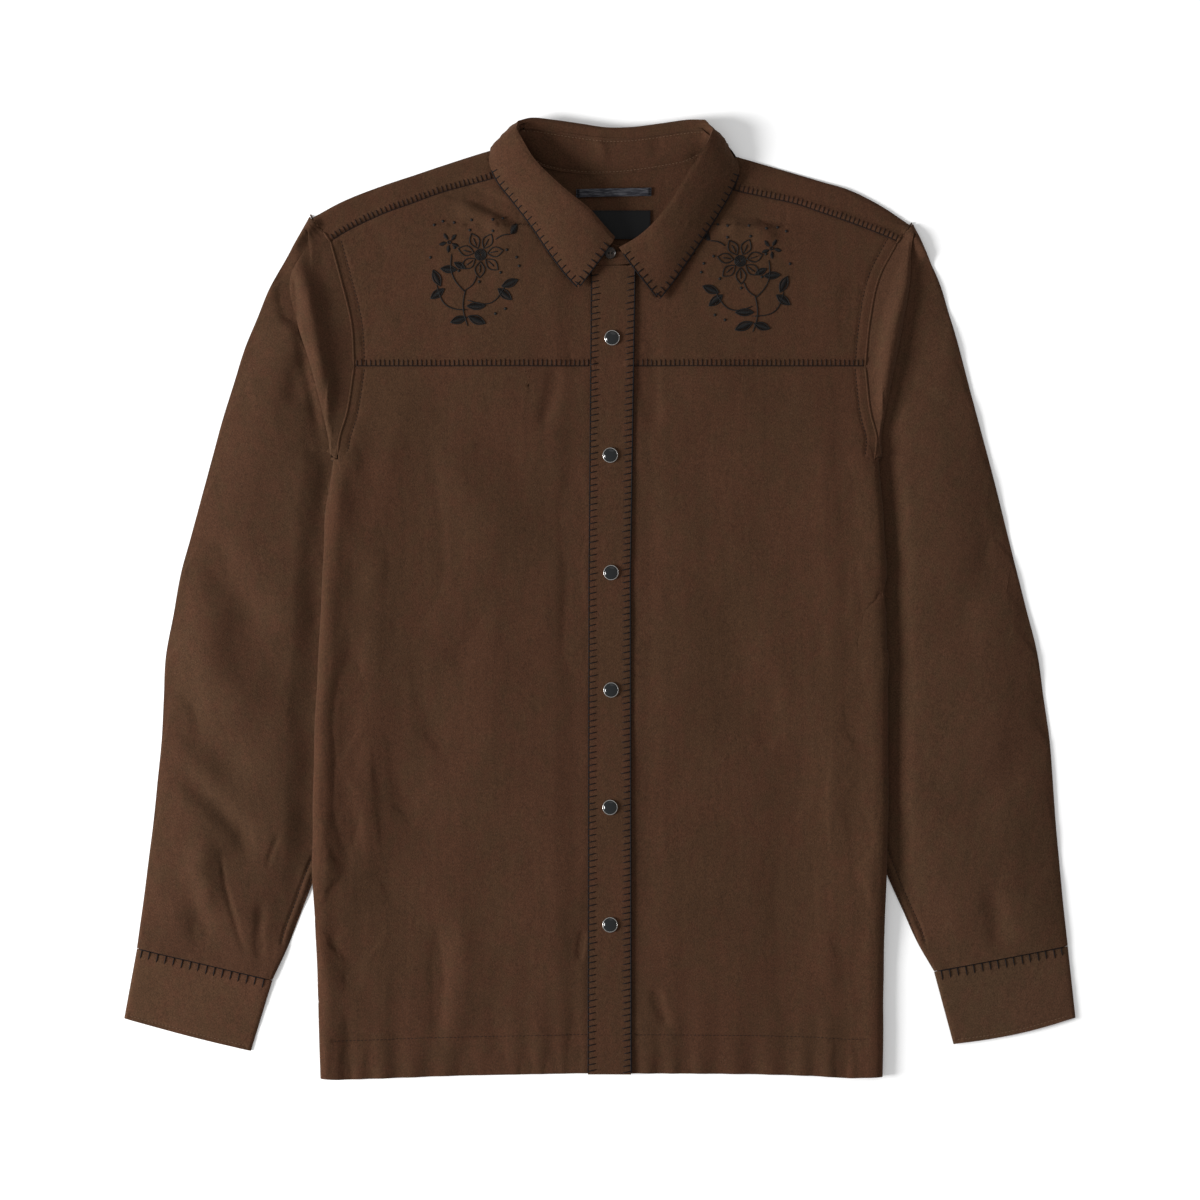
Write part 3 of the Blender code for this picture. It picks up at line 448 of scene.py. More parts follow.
# Where each change starts, and over how far it comes in
ramps = {
    "calm": (-40, 80),
    "loftBySide": (60, 50),
    "loftByPlacket": (26, 20),
    "loftByHem": (-378, 30),
    "ripplesBySide": (6, 20),
    "quietSides": (2, 12),
    "placketFlat": (13, 13),
    "rollByArm": (-118, 40),
    "cap": (80, 90),
    "sleeveByCuff": (-292, 60),
    "sleeveByShoulder": (-296, 50),
    "sleeveByBody": (2, 22),
    "layers": (0.25, 0.6),
}
creases = {
    # name: height, half width, lean (its sign is that of the steeper side) and path
    "rightShoulderDrag": (-1.9, 6.5, 0.5, [(-132, 333), (-108, 325), (-82, 312), (-58, 300)]),
    "rightShoulderRidge": (1.3, 8, 0, [(-120, 319), (-92, 307), (-66, 291)]),
    "leftShoulderDrag": (-1.9, 6.5, -0.5, [(152, 299), (128, 311), (100, 314), (78, 306)]),
    "leftShoulderRidge": (1.2, 8, 0, [(146, 287), (122, 297), (92, 299)]),
    "rightCapRidge": (1.6, 4.5, 0.3, [(-222, 306), (-236, 296), (-251, 276)]),
    "rightCapPocket": (-2.4, 7, 0, [(-250, 266), (-250, 246), (-246, 216)]),
    "rightCapSecond": (-1.2, 9, 0, [(-232, 205), (-242, 180), (-244, 150)]),
    "rightCapFold": (-0.9, 4.5, 0, [(-252, 276), (-246, 240), (-235, 186), (-220, 114)]),
    "rightCapCrown": (1.8, 7, 0, [(-244, 284), (-233, 246), (-222, 188), (-213, 122)]),
    "leftCapRidge": (1.3, 5, -0.3, [(243, 300), (256, 287), (266, 268)]),
    "leftCapPocket": (-2.6, 11, 0, [(262, 272), (262, 240), (256, 196), (244, 150)]),
    "leftCapFold": (-0.9, 4.5, 0, [(262, 280), (257, 240), (244, 180), (228, 114)]),
    "leftCapCrown": (2.3, 7, 0.0, [(246, 282), (244, 252), (234, 217), (226, 170), (216, 118)]),
    "rightSleeveBroad": (-1.7, 17, 0, [(-318, 62), (-296, 10), (-262, -38)]),
    "rightSleeveBroadLow": (-1.5, 15, 0, [(-344, -60), (-318, -112), (-272, -152)]),
    "rightSleeveHollow": (-1.5, 9, -0.3, [(-345, -128), (-312, -158), (-286, -184), (-276, -214)]),
    "rightSleeveSwell": (1.5, 18, 0, [(-332, -8), (-302, -62), (-262, -98)]),
    "rightElbow": (1.6, 12, 0, [(-312, -184), (-318, -214), (-316, -256)]),
    "rightCuffCrease": (-0.5, 2.2, 0.6, [(-304, -196), (-300, -228), (-291, -262), (-284, -286)]),
    "rightCuffShort": (-0.42, 2.4, 0.3, [(-256, -184), (-263, -202), (-267, -216)]),
    "rightCuffTrough": (-1.2, 9, 0, [(-325, -214), (-322, -252), (-314, -280)]),
    "rightCuffInner": (-0.7, 4, 0, [(-270, -236), (-273, -268), (-272, -292)]),
    "leftSleeveBroad": (-1.1, 18, 0, [(322, 70), (304, 6), (270, -46)]),
    "leftSleeveLow": (-1.0, 17, 0, [(346, -96), (322, -148), (280, -186)]),
    "leftCuffCrease": (-0.7, 2.6, -0.4, [(250, -252), (257, -276), (264, -290)]),
    "leftCuffTrough": (-1.0, 9, 0, [(312, -226), (318, -262), (320, -284)]),
    "rightBodyBand": (-0.9, 7, 0.2, [(-131, -252), (-129, -310), (-131, -362)]),
    "rightBodySwell": (0.8, 11, 0, [(-112, -226), (-110, -300), (-112, -366)]),
    "rightChestBroad": (-0.9, 24, 0, [(-150, 150), (-142, 60), (-150, -40)]),
    "rightFrontSwell": (0.9, 26, 0, [(-92, 168), (-84, 70), (-92, -60), (-84, -190)]),
    "rightPlacketCrease": (-0.9, 2.5, 0, [(-13.5, -262), (-15, -276), (-17, -290)]),
    "rightPlacketHollow": (-0.6, 8, 0, [(-24, 120), (-22, 40), (-26, -60)]),
    "leftPlacketTrough": (-0.8, 4, 0, [(42, -308), (48, -326), (55, -344)]),
    "leftChestBroad": (-0.7, 26, 0, [(120, 160), (132, 60), (124, -60)]),
    "leftFrontSwell": (0.7, 26, 0, [(74, 150), (70, 20), (78, -140)]),
    "leftBodyLow": (-0.6, 18, 0, [(146, -180), (152, -260), (146, -352)]),
    "rightSideTrough": (-1.1, 8, 0, [(-196, -20), (-203, -90), (-203, -170), (-199, -240)]),
    "rightPlacketPull": (-0.9, 6, 0, [(-34, 192), (-38, 166), (-48, 132)]),
    "leftPlacketPull": (-0.7, 6, 0, [(38, 190), (42, 164), (44, 132)]),
    "rightYokeHollow": (-0.9, 8, 0, [(-196, 262), (-188, 226), (-192, 196)]),
    "leftYokeHollow": (-0.8, 8, 0, [(206, 262), (200, 226), (204, 196)]),
    "standRipple": (0.9, 4, 0, [(-4, 372), (2, 360), (4, 348)]),
    "standRippleLeft": (-0.7, 4, 0, [(44, 373), (46, 362), (44, 352)]),
}


def smooth(share):
    share = np.clip(share, 0, 1)
    return share * share * (3 - 2 * share)


def ramp(value, name):
    start, over = ramps[name]
    return smooth((value - start) / over)


def bell(value):
    return np.exp(-value ** 2)


def around(x, y, path, reach):
    # Which places lie in the path's box or within reach of it
    low, high = np.min(path, axis=0) - reach, np.max(path, axis=0) + reach
    return (x > low[0]) & (x < high[0]) & (y > low[1]) & (y < high[1])


def alongPath(x, y, path):
    # Distance to a path, its sign by side, and how far along it the nearest place is
    path = np.asarray(path, float)
    step = np.diff(path, axis=0)
    length = np.hypot(step[:, 0], step[:, 1])
    start = np.concatenate([[0], np.cumsum(length)])
    best, side, share = np.full(len(x), 1e9), np.zeros(len(x)), np.zeros(len(x))
    for number in range(len(step)):
        dx, dy = x - path[number, 0], y - path[number, 1]
        t = np.clip((dx * step[number, 0] + dy * step[number, 1]) / length[number] ** 2, 0, 1)
        away = np.hypot(dx - t * step[number, 0], dy - t * step[number, 1])
        nearer = away < best
        best = np.where(nearer, away, best)
        side = np.where(nearer, np.sign(step[number, 0] * dy - step[number, 1] * dx), side)
        share = np.where(nearer, (start[number] + t * length[number]) / start[-1], share)
    return best, side, share


def creaseHeight(x, y, tall, width, lean, path, reach=3.2, end=0.3):
    # A crease fades out beyond reach widths, and over a share of its length at each end
    near = around(x, y, path, reach * width)
    height = np.zeros(len(x))
    away, side, share = alongPath(x[near], y[near], path)
    across = away / width
    taper = smooth(share / end) * smooth((1 - share) / end)
    height[near] = handling["strength"] * tall * bell(across) * (1 + lean * side * across) * taper
    return height


def uneven(x, y, size, height, seed):
    places = zip((x / size).tolist(), (y / size).tolist())
    return height * np.array([noise.noise(Vector((u, v, seed))) for u, v in places])


def bandEdges(shells, sign, first, last, step, wide):
    # Steps along the shirt, and how far in and out the shells reach at each of them
    steps = np.arange(first, last, step)
    places = np.concatenate([shell["points"] for shell in shells]) / mm
    bands = [sign * places[np.abs(places[:, 1] - y) < wide, 0] for y in steps]
    return steps, *np.array([(band.min(), band.max()) for band in bands]).T


def sideEdges(shells):
    # The rolled sides of the body
    edges = {}
    for side, sign in bothSides:
        fronts = [shells["front_" + side], shells["front_yoke_" + side]]
        steps, _, outer = bandEdges(fronts, sign, *handling["sideSteps"])
        edges[side] = (steps, outer)
    return edges


def sleeveEdges(shells):
    # The inner and outer folds of each sleeve
    steps = handling["sleeveSteps"]
    return {side: bandEdges([shells["sleeve_" + side]], sign, *steps) for side, sign in bothSides}


def sleeveLoft(x, y, side, edges):
    # A sleeve stands up between its folds
    steps, inner, outer = edges[side]
    place, rise = np.abs(x), handling["sleeveRise"]
    loft = smooth((place - np.interp(y, steps, inner)) / rise)
    loft = loft * smooth((np.interp(y, steps, outer) - place) / rise)
    if side == "left":
        loft *= 1 - handling["capFlat"] * ramp(y, "cap")
    return handling["sleeveLoft"] * loft * ramp(y, "sleeveByCuff") * ramp(-y, "sleeveByShoulder")


def clothHeight(x, y, edges):
    # The relief over the whole shirt, in millimetres
    height = sum(creaseHeight(x, y, *crease) for crease in creases.values())
    calm = 1 - (1 - handling["calm"]) * ramp(x, "calm")
    height += calm * (uneven(x, y, *handling["broad"]) + uneven(x, y, *handling["small"]))
    out = np.abs(x) - np.where(x < 0, np.interp(y, *edges["right"]), np.interp(y, *edges["left"]))
    fromPlacket = np.abs(x - handling["placketMiddle"])
    inside = (out < 0) & (y < handling["bodyTop"])
    loft = handling["loft"] * (ramp(-out, "loftBySide") * ramp(fromPlacket, "loftByPlacket"))
    height += np.where(inside, loft * ramp(y, "loftByHem"), 0)
    pitch, ripple, reach = handling["hemRipple"]
    sway, swayPitch = handling["hemSway"]
    hem = np.exp(-(y - handling["hemLine"]) / reach) * (y < handling["hemTop"]) * inside
    wave = np.sin(2 * np.pi * x / pitch + sway * np.sin(x / swayPitch))
    height += hem * ripple * wave * ramp(-out, "ripplesBySide")
    height *= np.where(y < handling["quietTop"], ramp(np.abs(out), "quietSides"), 1)
    stiff = handling["placketShare"]
    flat = stiff + (1 - stiff) * ramp(fromPlacket, "placketFlat")
    height *= np.where(y < handling["placketTop"], flat, 1)
    place, wide, right, left = handling["sideRoll"]
    roll = np.where(x < 0, right, left) * bell((out + place) / wide)
    return height + np.where(out < 0, roll * ramp(-y, "rollByArm"), 0)


# Stitched lines, which follow the cloth's own edges

edgeLines = {
    # node, outward direction, box that holds it (x, y and z in millimetres), direction that it runs in
    "placketRight": ("placket", (-1, 0), (-20, 8, -400, 300, 0, 50), (0, 1)),
    "placketLeft": ("placket", (1, 0), (8, 40, -400, 300, 0, 50), (0, 1)),
    "chestRight": ("front_yoke_right", (0, -1), (-260, -8, 180, 195, 0, 50), (1, 0)),
    "chestLeft": ("front_yoke_left", (0, -1), (24, 260, 180, 195, 0, 50), (1, 0)),
    "shoulderRight": ("yoke", (0.35, -0.94), (-214, -62, 280, 345, 0, 50), (1, 0)),
    "shoulderLeft": ("yoke", (-0.3, -0.95), (92, 241, 280, 345, 0, 50), (1, 0)),
    "hemRight": ("front_right", (0, -1), (-216, -6, -390, -370, 2.4, 50), (1, 0)),
    "hemLeft": ("front_left", (0, -1), (27, 218, -390, -370, 2.4, 50), (1, 0)),
    "armholeRightYoke": ("front_yoke_right", (-1, 0), (-260, -150, 188, 289, 0, 50), (0, 1)),
    "armholeRight": ("front_right", (-1, 0), (-260, -150, 113, 187, 0, 50), (0, 1)),
    "armholeLeftYoke": ("front_yoke_left", (1, 0), (150, 260, 188, 289, 0, 50), (0, 1)),
    "armholeLeft": ("front_left", (1, 0), (150, 260, 113, 187, 0, 50), (0, 1)),
    "cuffTopRight": ("cuff_right", (-0.2, 1), (-372, -266, -310, -270, 2.4, 50), (1, 0)),
    "cuffTopLeft": ("cuff_left", (0.2, 1), (270, 372, -310, -270, 2.4, 50), (1, 0)),
    "cuffLowRight": ("cuff_right", (-0.25, -1), (-378, -284, -370, -330, 2.4, 50), (1, 0)),
    "cuffLowLeft": ("cuff_left", (0.2, -1), (285, 376, -370, -330, 2.4, 50), (1, 0)),
    "leafRightFront": ("collar_leaf", (0.78, -0.6), (-17, 13, 245, 284, 0, 50), (0, 1)),
    "leafRightSide": ("collar_leaf", (-0.78, -0.5), (-95, -17, 245, 344, 0, 9.8), (0, 1)),
    "leafLeftFront": ("collar_leaf", (-0.78, -0.6), (14, 46, 235, 277, 0, 50), (0, 1)),
    "leafLeftSide": ("collar_leaf", (0.8, -0.45), (46, 115, 235, 347, 0, 9.8), (0, 1)),
    "neckSeam": ("collar_stand", (0, -1), (-52, 84, 338, 357, 0, 50), (1, 0)),
    "collarFold": ("collar_leaf", (0, -1), (-67, 84, 364, 380, 7, 50), (1, 0)),
    "shoulderEndRight": ("yoke", (-0.7, -0.7), (-233, -211, 286, 307, 0, 50), (0, 1)),
    "shoulderEndLeft": ("yoke", (0.75, -0.65), (236, 251, 286, 300, 0, 50), (0, 1)),
    "placketTop": ("placket", (0, 1), (-9, 28, 262, 272, 0, 50), (1, 0)),
}


upward = 0.35  # a face looks up where its direction's height is over this
sameWay = 0.75  # the cosine within which an edge faces the way that is asked
apartAtLeast = 0.2 * mm
readReach = 4 * mm


def edgeLine(shell, outward, box, run):
    # The upper edge that faces outward inside a box, in order along run, with its inward directions
    points, faces = shell["points"], shell["faces"]
    _, _, toPoint, rim, ofTriangle = edgesOf(shell["root"], shell["triangles"])
    facing = unit(facingOf(points, faces))
    triangle, k = np.nonzero(rim[toPoint[ofTriangle]] & (facing[:, 2:] > upward))
    a, b = points[faces[triangle, k]], points[faces[triangle, (k + 1) % 3]]
    inward = np.cross(facing[triangle], unit(b - a))
    middle = (a + b) / 2 / mm
    inside = ((middle > box[::2]) & (middle < box[1::2])).all(axis=1)
    chosen = inside & (-inward[:, :2] @ unit(np.array(outward, float)) > sameWay)
    place, inward = np.concatenate([a[chosen], b[chosen]]), np.tile(inward[chosen], (2, 1))
    order = np.argsort(place[:, :2] @ np.array(run))
    place, inward = place[order], inward[order]
    apart = np.concatenate([[True], np.diff(place[:, :2] @ np.array(run)) > apartAtLeast])
    return place[apart], inward[apart]


def allLines(shells):
    return {name: edgeLine(shells[node], *rest) for name, (node, *rest) in edgeLines.items()}


def resampled(points, inward, pitch, start=0.5):
    # Even steps along a line, with its direction and inward direction
    length = np.concatenate([[0], np.cumsum(np.linalg.norm(np.diff(points, axis=0), axis=1))])
    count = max(1, int(round(length[-1] / pitch)))
    at = (np.arange(count) + start) * length[-1] / count

    def read(values, at):
        return np.stack([np.interp(at, length, values[:, k]) for k in range(3)], axis=1)

    along = unit(read(points, at + readReach) - read(points, at - readReach))
    inward = unit(read(inward, at))
    return read(points, at), along, unit(inward - dot(inward, along) * along)


def moved(line, offset, pitch=2 * mm):
    # The line this far inward of an edge, smoothed
    places, _, inward = resampled(*line, pitch)
    smoothed = inward.copy()
    smoothed[1:-1] = inward[:-2] + inward[1:-1] + inward[2:]
    return places + offset * unit(smoothed), unit(smoothed)


# Cloth pieces: name, cut in metres, the cloth's area where its cut isn't a rectangle, how it lies, on what

clothPieces = {
    "back": ("backPanel", (0.592, 0.608), 0.312, "laid", []),
    "yoke": ("backYoke", (0.482, 0.168), 0.0615, "laid", ["backPanel"]),
    "front_right": ("frontRight", (0.302, 0.574), 0.164, "laid", ["backPanel"]),
    "front_left": ("frontLeft", (0.298, 0.572), 0.158, "laid", ["frontRight"]),
    "front_yoke_right": ("chestYokeRight", (0.245, 0.156), 0.0281, "laid", ["backYoke"]),
    "front_yoke_left": ("chestYokeLeft", (0.245, 0.156), 0.0263, "laid", ["backYoke"]),
    "placket": ("frontPlacket", (0.0352, 0.648), None, "laid", ["frontLeft"]),
    "collar_stand": ("collarBand", (0.408, 0.038), 0.0101, "folded", ["backYoke"]),
    "collar_leaf": ("collarLeaf", (0.432, 0.074), 0.0195, "folded", ["collarBand"]),
    "sleeve_right": ("sleeveRight", (0.48, 0.668), 0.312, "laid", []),
    "sleeve_left": ("sleeveLeft", (0.48, 0.664), 0.304, "laid", []),
    "cuff_right": ("cuffRight", (0.228, 0.058), None, "folded", ["sleeveRight"]),
    "cuff_left": ("cuffLeft", (0.228, 0.058), None, "folded", ["sleeveLeft"]),
    "hanger_loop": ("hangingLoop", None, None, None, []),
    "neck_label": ("plainLabel", (0.06, 0.0232), None, "laid", ["backYoke"]),
}
seams = {
    "ladders": ["chestRight", "chestLeft", "shoulderRight", "shoulderLeft"],
    "ladderTop": 6.6,  # the cloth bulges between the seam and here
    "ladderBulge": (0.75, 0.8),  # its height, and how full its form is
    "ladderValley": (-0.5, 1.3),  # height and half width, as of the dips below
    "trims": ["placketRight", "placketLeft", "leafRightFront", "leafRightSide", "leafLeftFront",
              "leafLeftSide", "cuffTopRight", "cuffTopLeft"],
    "trimDip": (-0.22, 1.6),
    "dip": (-0.55, 1.5),  # where a row of stitches pulls the cloth in
    "sleeveDeep": 1.7,  # the rows of the sleeves lie this many times deeper
    # How far in from their edges the rows of stitches run; two of them along each sleeve's inner edge
    "rows": {"hem": 31.0, "armhole": 8.0, "cuffLow": 3.2, "neckSeam": 1.3, "collarFold": -2.6},
    "sleeve": (3.0, 9.0),
    "sleeveSteps": (-276, 112, 4.0, 5),
    "smoothOver": 7,  # steps
    "ladderReach": 9,
    "dipReach": 6,
}


def sleeveRow(shell, sign, inset):
    # A line along the sleeve's inner edge
    steps, edge, _ = bandEdges([shell], sign, *seams["sleeveSteps"])
    over = seams["smoothOver"]
    edge = np.convolve(np.pad(edge, over // 2, mode="edge"), np.ones(over) / over, mode="valid")
    slope = np.gradient(edge, seams["sleeveSteps"][2])
    inward = unit(np.column_stack([sign * np.ones(len(steps)), -slope, np.zeros(len(steps))]))
    line = np.column_stack([sign * edge, steps, np.zeros(len(steps))]) * mm
    return line + inward * inset * mm, inward


def stitchRows(shells, lines):
    # Every row of topstitching that pulls the cloth in, with the node that it is sewn to
    rows = {}
    for start, inset in seams["rows"].items():
        for name in [name for name in edgeLines if name.startswith(start)]:
            node = "collar_stand" if start == "collarFold" else edgeLines[name][0]
            rows[name] = (node, moved(lines[name], inset * mm))
    for side, sign in bothSides:
        node = "sleeve_" + side
        for number, inset in enumerate(seams["sleeve"]):
            rows[f"sleeve{number}{side}"] = (node, sleeveRow(shells[node], sign, inset))
    return rows


def nearLine(x, y, line, reach):
    # Which places are near a line, and their distance to it and side of it, in millimetres
    path = line[0][::2, :2] / mm
    near = np.flatnonzero(around(x, y, path, reach))
    away, _, _ = alongPath(x[near], y[near], path)
    close = away < reach
    near, away = near[close], away[close]
    nearest = np.argmin(np.hypot(x[near, None] - path[:, 0], y[near, None] - path[:, 1]), axis=1)
    inward, foot = line[1][::2][nearest, :2], path[nearest]
    side = np.sign((x[near] - foot[:, 0]) * inward[:, 0] + (y[near] - foot[:, 1]) * inward[:, 1])
    return near, away, side


def seamHeight(node, x, y, lines, rows):
    height = np.zeros(len(x))
    full, form = seams["ladderBulge"]
    valley, wide = seams["ladderValley"]
    for name in [] if node.startswith(("sleeve", "collar")) else seams["ladders"]:
        near, away, side = nearLine(x, y, lines[name], seams["ladderReach"])
        inside = side * away
        bulge = full * np.sin(np.pi * np.clip(inside / seams["ladderTop"], 0, 1)) ** form
        height[near] += bulge + valley * bell(inside / wide)
    dips = [(lines[name], *seams["trimDip"], 1) for name in seams["trims"] if edgeLines[name][0] == node]
    deep = seams["sleeveDeep"] if node.startswith("sleeve") else 1
    dips += [(line, *seams["dip"], deep) for owner, line in rows.values() if owner == node]
    for line, low, wide, deep in dips:
        near, away, _ = nearLine(x, y, line, seams["dipReach"])
        height[near] += deep * low * bell(away / wide)
    return height


def layerShare(z, over):
    # Layers under the top one give way with it, and the lowest stay where they lie
    start, reach = ramps["layers"]
    return np.clip((z / np.maximum(over, handling["thinnest"]) - start) / reach, 0, 1)


def fillDent(shell, left, right, bottom, top):
    # A shallow dent of the side roll fills up to the cloth before and behind it
    points, tree = shell["points"], treeOf([shell])
    x, y = points[:, 0] / mm, points[:, 1] / mm
    inside = np.flatnonzero((x > left) & (x < right) & (y > bottom) & (y < top))
    spot = points[inside]
    over = heightOver(tree, spot[:, 0], spot[:, 1])
    before, behind = (heightOver(tree, spot[:, 0], np.full(len(spot), end * mm)) for end in (bottom, top))
    goal = before + (behind - before) * (y[inside] - bottom) / (top - bottom)
    lift = np.maximum(goal - over, 0) * smooth((x[inside] - left) / handling["dentBlend"])
    points[inside, 2] += lift * layerShare(spot[:, 2], over)


def applyRelief(shells, lines, rows):
    fillDent(shells["front_left"], *handling["leftSideDent"])
    tree, edges, folds = treeOf(shells.values()), sideEdges(shells), sleeveEdges(shells)
    for node, shell in shells.items():
        points = shell["points"]
        x, y = points[:, 0] / mm, points[:, 1] / mm
        over = heightOver(tree, points[:, 0], points[:, 1])
        share = points[:, 2] > over - handling["layer"]
        if node.startswith(("sleeve", "front_left", "front_right", "back")):
            share = layerShare(points[:, 2], over)
        top = np.flatnonzero(share)
        height = clothHeight(x[top], y[top], edges)
        if node.startswith("sleeve"):
            side = node.split("_")[1]
            loft = sleeveLoft(x[top], y[top], side, folds)
            beside = ramp(np.abs(x[top]) - np.interp(y[top], *edges[side]), "sleeveByBody")
            height += loft * np.where(y[top] < handling["underArm"], beside, 1)
        height *= handling["share"].get(node.split("_")[0], 1)
        height = np.maximum(height, handling["lowest"])
        height += seamHeight(node, x[top], y[top], lines, rows)
        points[top, 2] += share[top] * height * mm
        points[:, 2] = np.maximum(points[:, 2], handling["offFloor"])


sleeveEnds = {
    "run": (0.14, -0.99),  # the way from shoulder to wrist
    "wristFacing": 0.6,
    "wristTop": -270,
    "shoulderSlope": 0.5,
    "shoulderSide": 215,
    "shoulderLow": 60,
}


def openEnds(shell, side):
    # A sleeve is a tube of cloth: its ends, which the cuff and the body hide, stay open
    facing = unit(facingOf(shell["points"], shell["faces"]))
    x, y, _ = (shell["points"][shell["faces"]].mean(axis=1) / mm).T
    across, down = sleeveEnds["run"]
    along = facing @ np.array([across * side, down, 0])
    upright = np.abs(facing[:, 2]) < sleeveEnds["shoulderSlope"]
    wrist = (along > sleeveEnds["wristFacing"]) & (y < sleeveEnds["wristTop"])
    shoulder = upright & (x * side < sleeveEnds["shoulderSide"]) & (y > sleeveEnds["shoulderLow"])
    return shell["faces"][~(wrist | shoulder)]


def addPiece(name, mesh, material, sharp=None, place=(0, 0, 0)):
    mesh.shade_smooth()
    if sharp:
        mesh.set_sharp_from_angle(angle=math.radians(sharp))
    mesh.materials.append(material)
    piece = linked(name, mesh)
    piece.location = place
    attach(piece, "root")
    return piece


def clothObject(node, shell, material):
    name, faces = clothPieces[node][0], shell["faces"]
    if node.startswith("sleeve"):
        faces = openEnds(shell, dict(bothSides)[node.split("_")[1]])
    mesh = bpy.data.meshes.new(name)
    mesh.from_pydata(shell["points"].tolist(), [], faces.tolist())
    piece = addPiece(name, mesh, material, fineCloth["sharpAngle"])
    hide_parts(node)
    return piece


# Thread

threads = {
    "trim": 0.42,  # radii in millimetres
    "ladder": 0.42,
    "edge": 0.5,
    "topstitch": 0.24,
    "fineStitch": 0.16,
    "loopStitch": 0.24,
    "embroidery": 0.42,
    "sink": 0.25,  # how far a trim thread sinks into the cloth, as a share of its radius
    "end": 0.45,  # a thread's ends have this share of its radius
    "knot": (1.25, 0.95),  # radius and height
    "covered": 0.3 * mm,  # cloth this far below something else is covered
}
# A trim stitch comes up overEdge outside its edge, and dives at its end by a share of its radius
trimStitch = {
    "overEdge": 0.35,
    "under": 0.5,
    "first": 0.35,
    "steps": (0.36, 0.72, 1),  # where it is laid down, as shares of its length
    "shift": 0.35,
    "dive": 0.8,
    "edgePitch": 2.2 * mm,
    "edgeLift": 0.1 * mm,
    "edgeWave": (0.05 * mm, 2.1),  # height, and turn in radians from one place to the next
}
machineStitch = {"steps": (-0.5, -0.2, 0.2, 0.5), "lift": 0.4, "dive": 1.1}
# Stitches over an edge: their pitch, length, wander and radius
trims = {
    "placket": (5.1, 6.8, 0.08, threads["trim"]),
    "collar": (5.9, 5.8, 0.05, threads["trim"]),
    "cuff": (6.5, 7.0, 0.06, threads["trim"]),
    "ladder": (3.7, 6.0, 0.04, threads["ladder"]),
}
# Machine stitches: their pitch, length and radius
machine = {
    "body": (3.1, 2.5, threads["topstitch"]),
    "cuff": (2.9, 2.1, threads["topstitch"]),
    "neck": (2.8, 2.0, threads["topstitch"]),
    "label": (2.2, 1.5, threads["fineStitch"]),
}


def circle(sides):
    turn = 2 * np.pi * np.arange(sides) / sides
    return np.cos(turn), np.sin(turn)


class ThreadWork:
    # Tubes of thread that become one mesh
    def __init__(self, sides=6):
        self.points, self.faces, self.count, self.sides = [], [], 0, sides

    def run(self, path, radius, closed=False):
        path = np.asarray(path, float)
        ahead, behind = np.roll(path, -1, axis=0), np.roll(path, 1, axis=0)
        if not closed:
            ahead[-1], behind[0] = path[-1], path[0]
        along = unit(ahead - behind)
        across = unit(np.cross(along, (0.0, 0.013, 1.0)))
        up = np.cross(across, along)
        size = np.full(len(path), radius * mm)
        if not closed:
            size[[0, -1]] *= threads["end"]
        cosine, sine = circle(self.sides)
        ring = cosine[None, :, None] * across[:, None] + sine[None, :, None] * up[:, None]
        self.points.append((path[:, None] + ring * size[:, None, None]).reshape(-1, 3))
        base = self.count + self.sides * np.arange(len(path))
        step = np.arange(self.sides)
        after = (step + 1) % self.sides
        first = base[:, None] if closed else base[:-1, None]
        second = np.roll(base, -1)[:, None] if closed else base[1:, None]
        quads = np.stack([first + step, first + after, second + after, second + step], axis=2)
        self.faces += quads.reshape(-1, 4).tolist()
        if not closed:
            self.faces.append((base[0] + step[::-1]).tolist())
            self.faces.append((base[-1] + step).tolist())
        self.count += len(path) * self.sides

    def knot(self, place, radius, height):
        # A small dome, as of a French knot: its rings by height and width
        sides = 8
        levels = ((0.0, 1.0), (0.45, 0.92), (0.8, 0.62), (1.0, 0.2))
        cosine, sine = circle(sides)
        for level, share in levels:
            ring = np.stack([cosine, sine, np.zeros(sides)], axis=1) * radius * share * mm
            self.points.append(np.asarray(place) + ring + (0, 0, level * height * mm))
        for start in range(self.count, self.count + (len(levels) - 1) * sides, sides):
            for k in range(sides):
                a, b = start + k, start + (k + 1) % sides
                self.faces.append([a, b, b + sides, a + sides])
        self.count += len(levels) * sides
        self.faces.append([self.count - sides + k for k in range(sides)])

    def piece(self, name, material, slot="brown_twill"):
        mesh = bpy.data.meshes.new(name)
        mesh.from_pydata(np.concatenate(self.points).tolist(), [], self.faces)
        piece = addPiece(name, mesh, material)
        return piece


class Cloth:
    # The finished cloth, to lay thread on
    def __init__(self, shells):
        self.all = treeOf(shells.values())
        self.each = {node: treeOf([shell]) for node, shell in shells.items()}

    def on(self, node, places, lift):
        # The places on a piece's upper side, and whether nothing else covers them
        height = heightOver(self.each[node], places[:, 0], places[:, 1])
        over = heightOver(self.all, places[:, 0], places[:, 1]) - height
        shown = (height > 0) & (over < threads["covered"])
        return np.column_stack([places[:, :2], height + lift * mm]), shown.all()


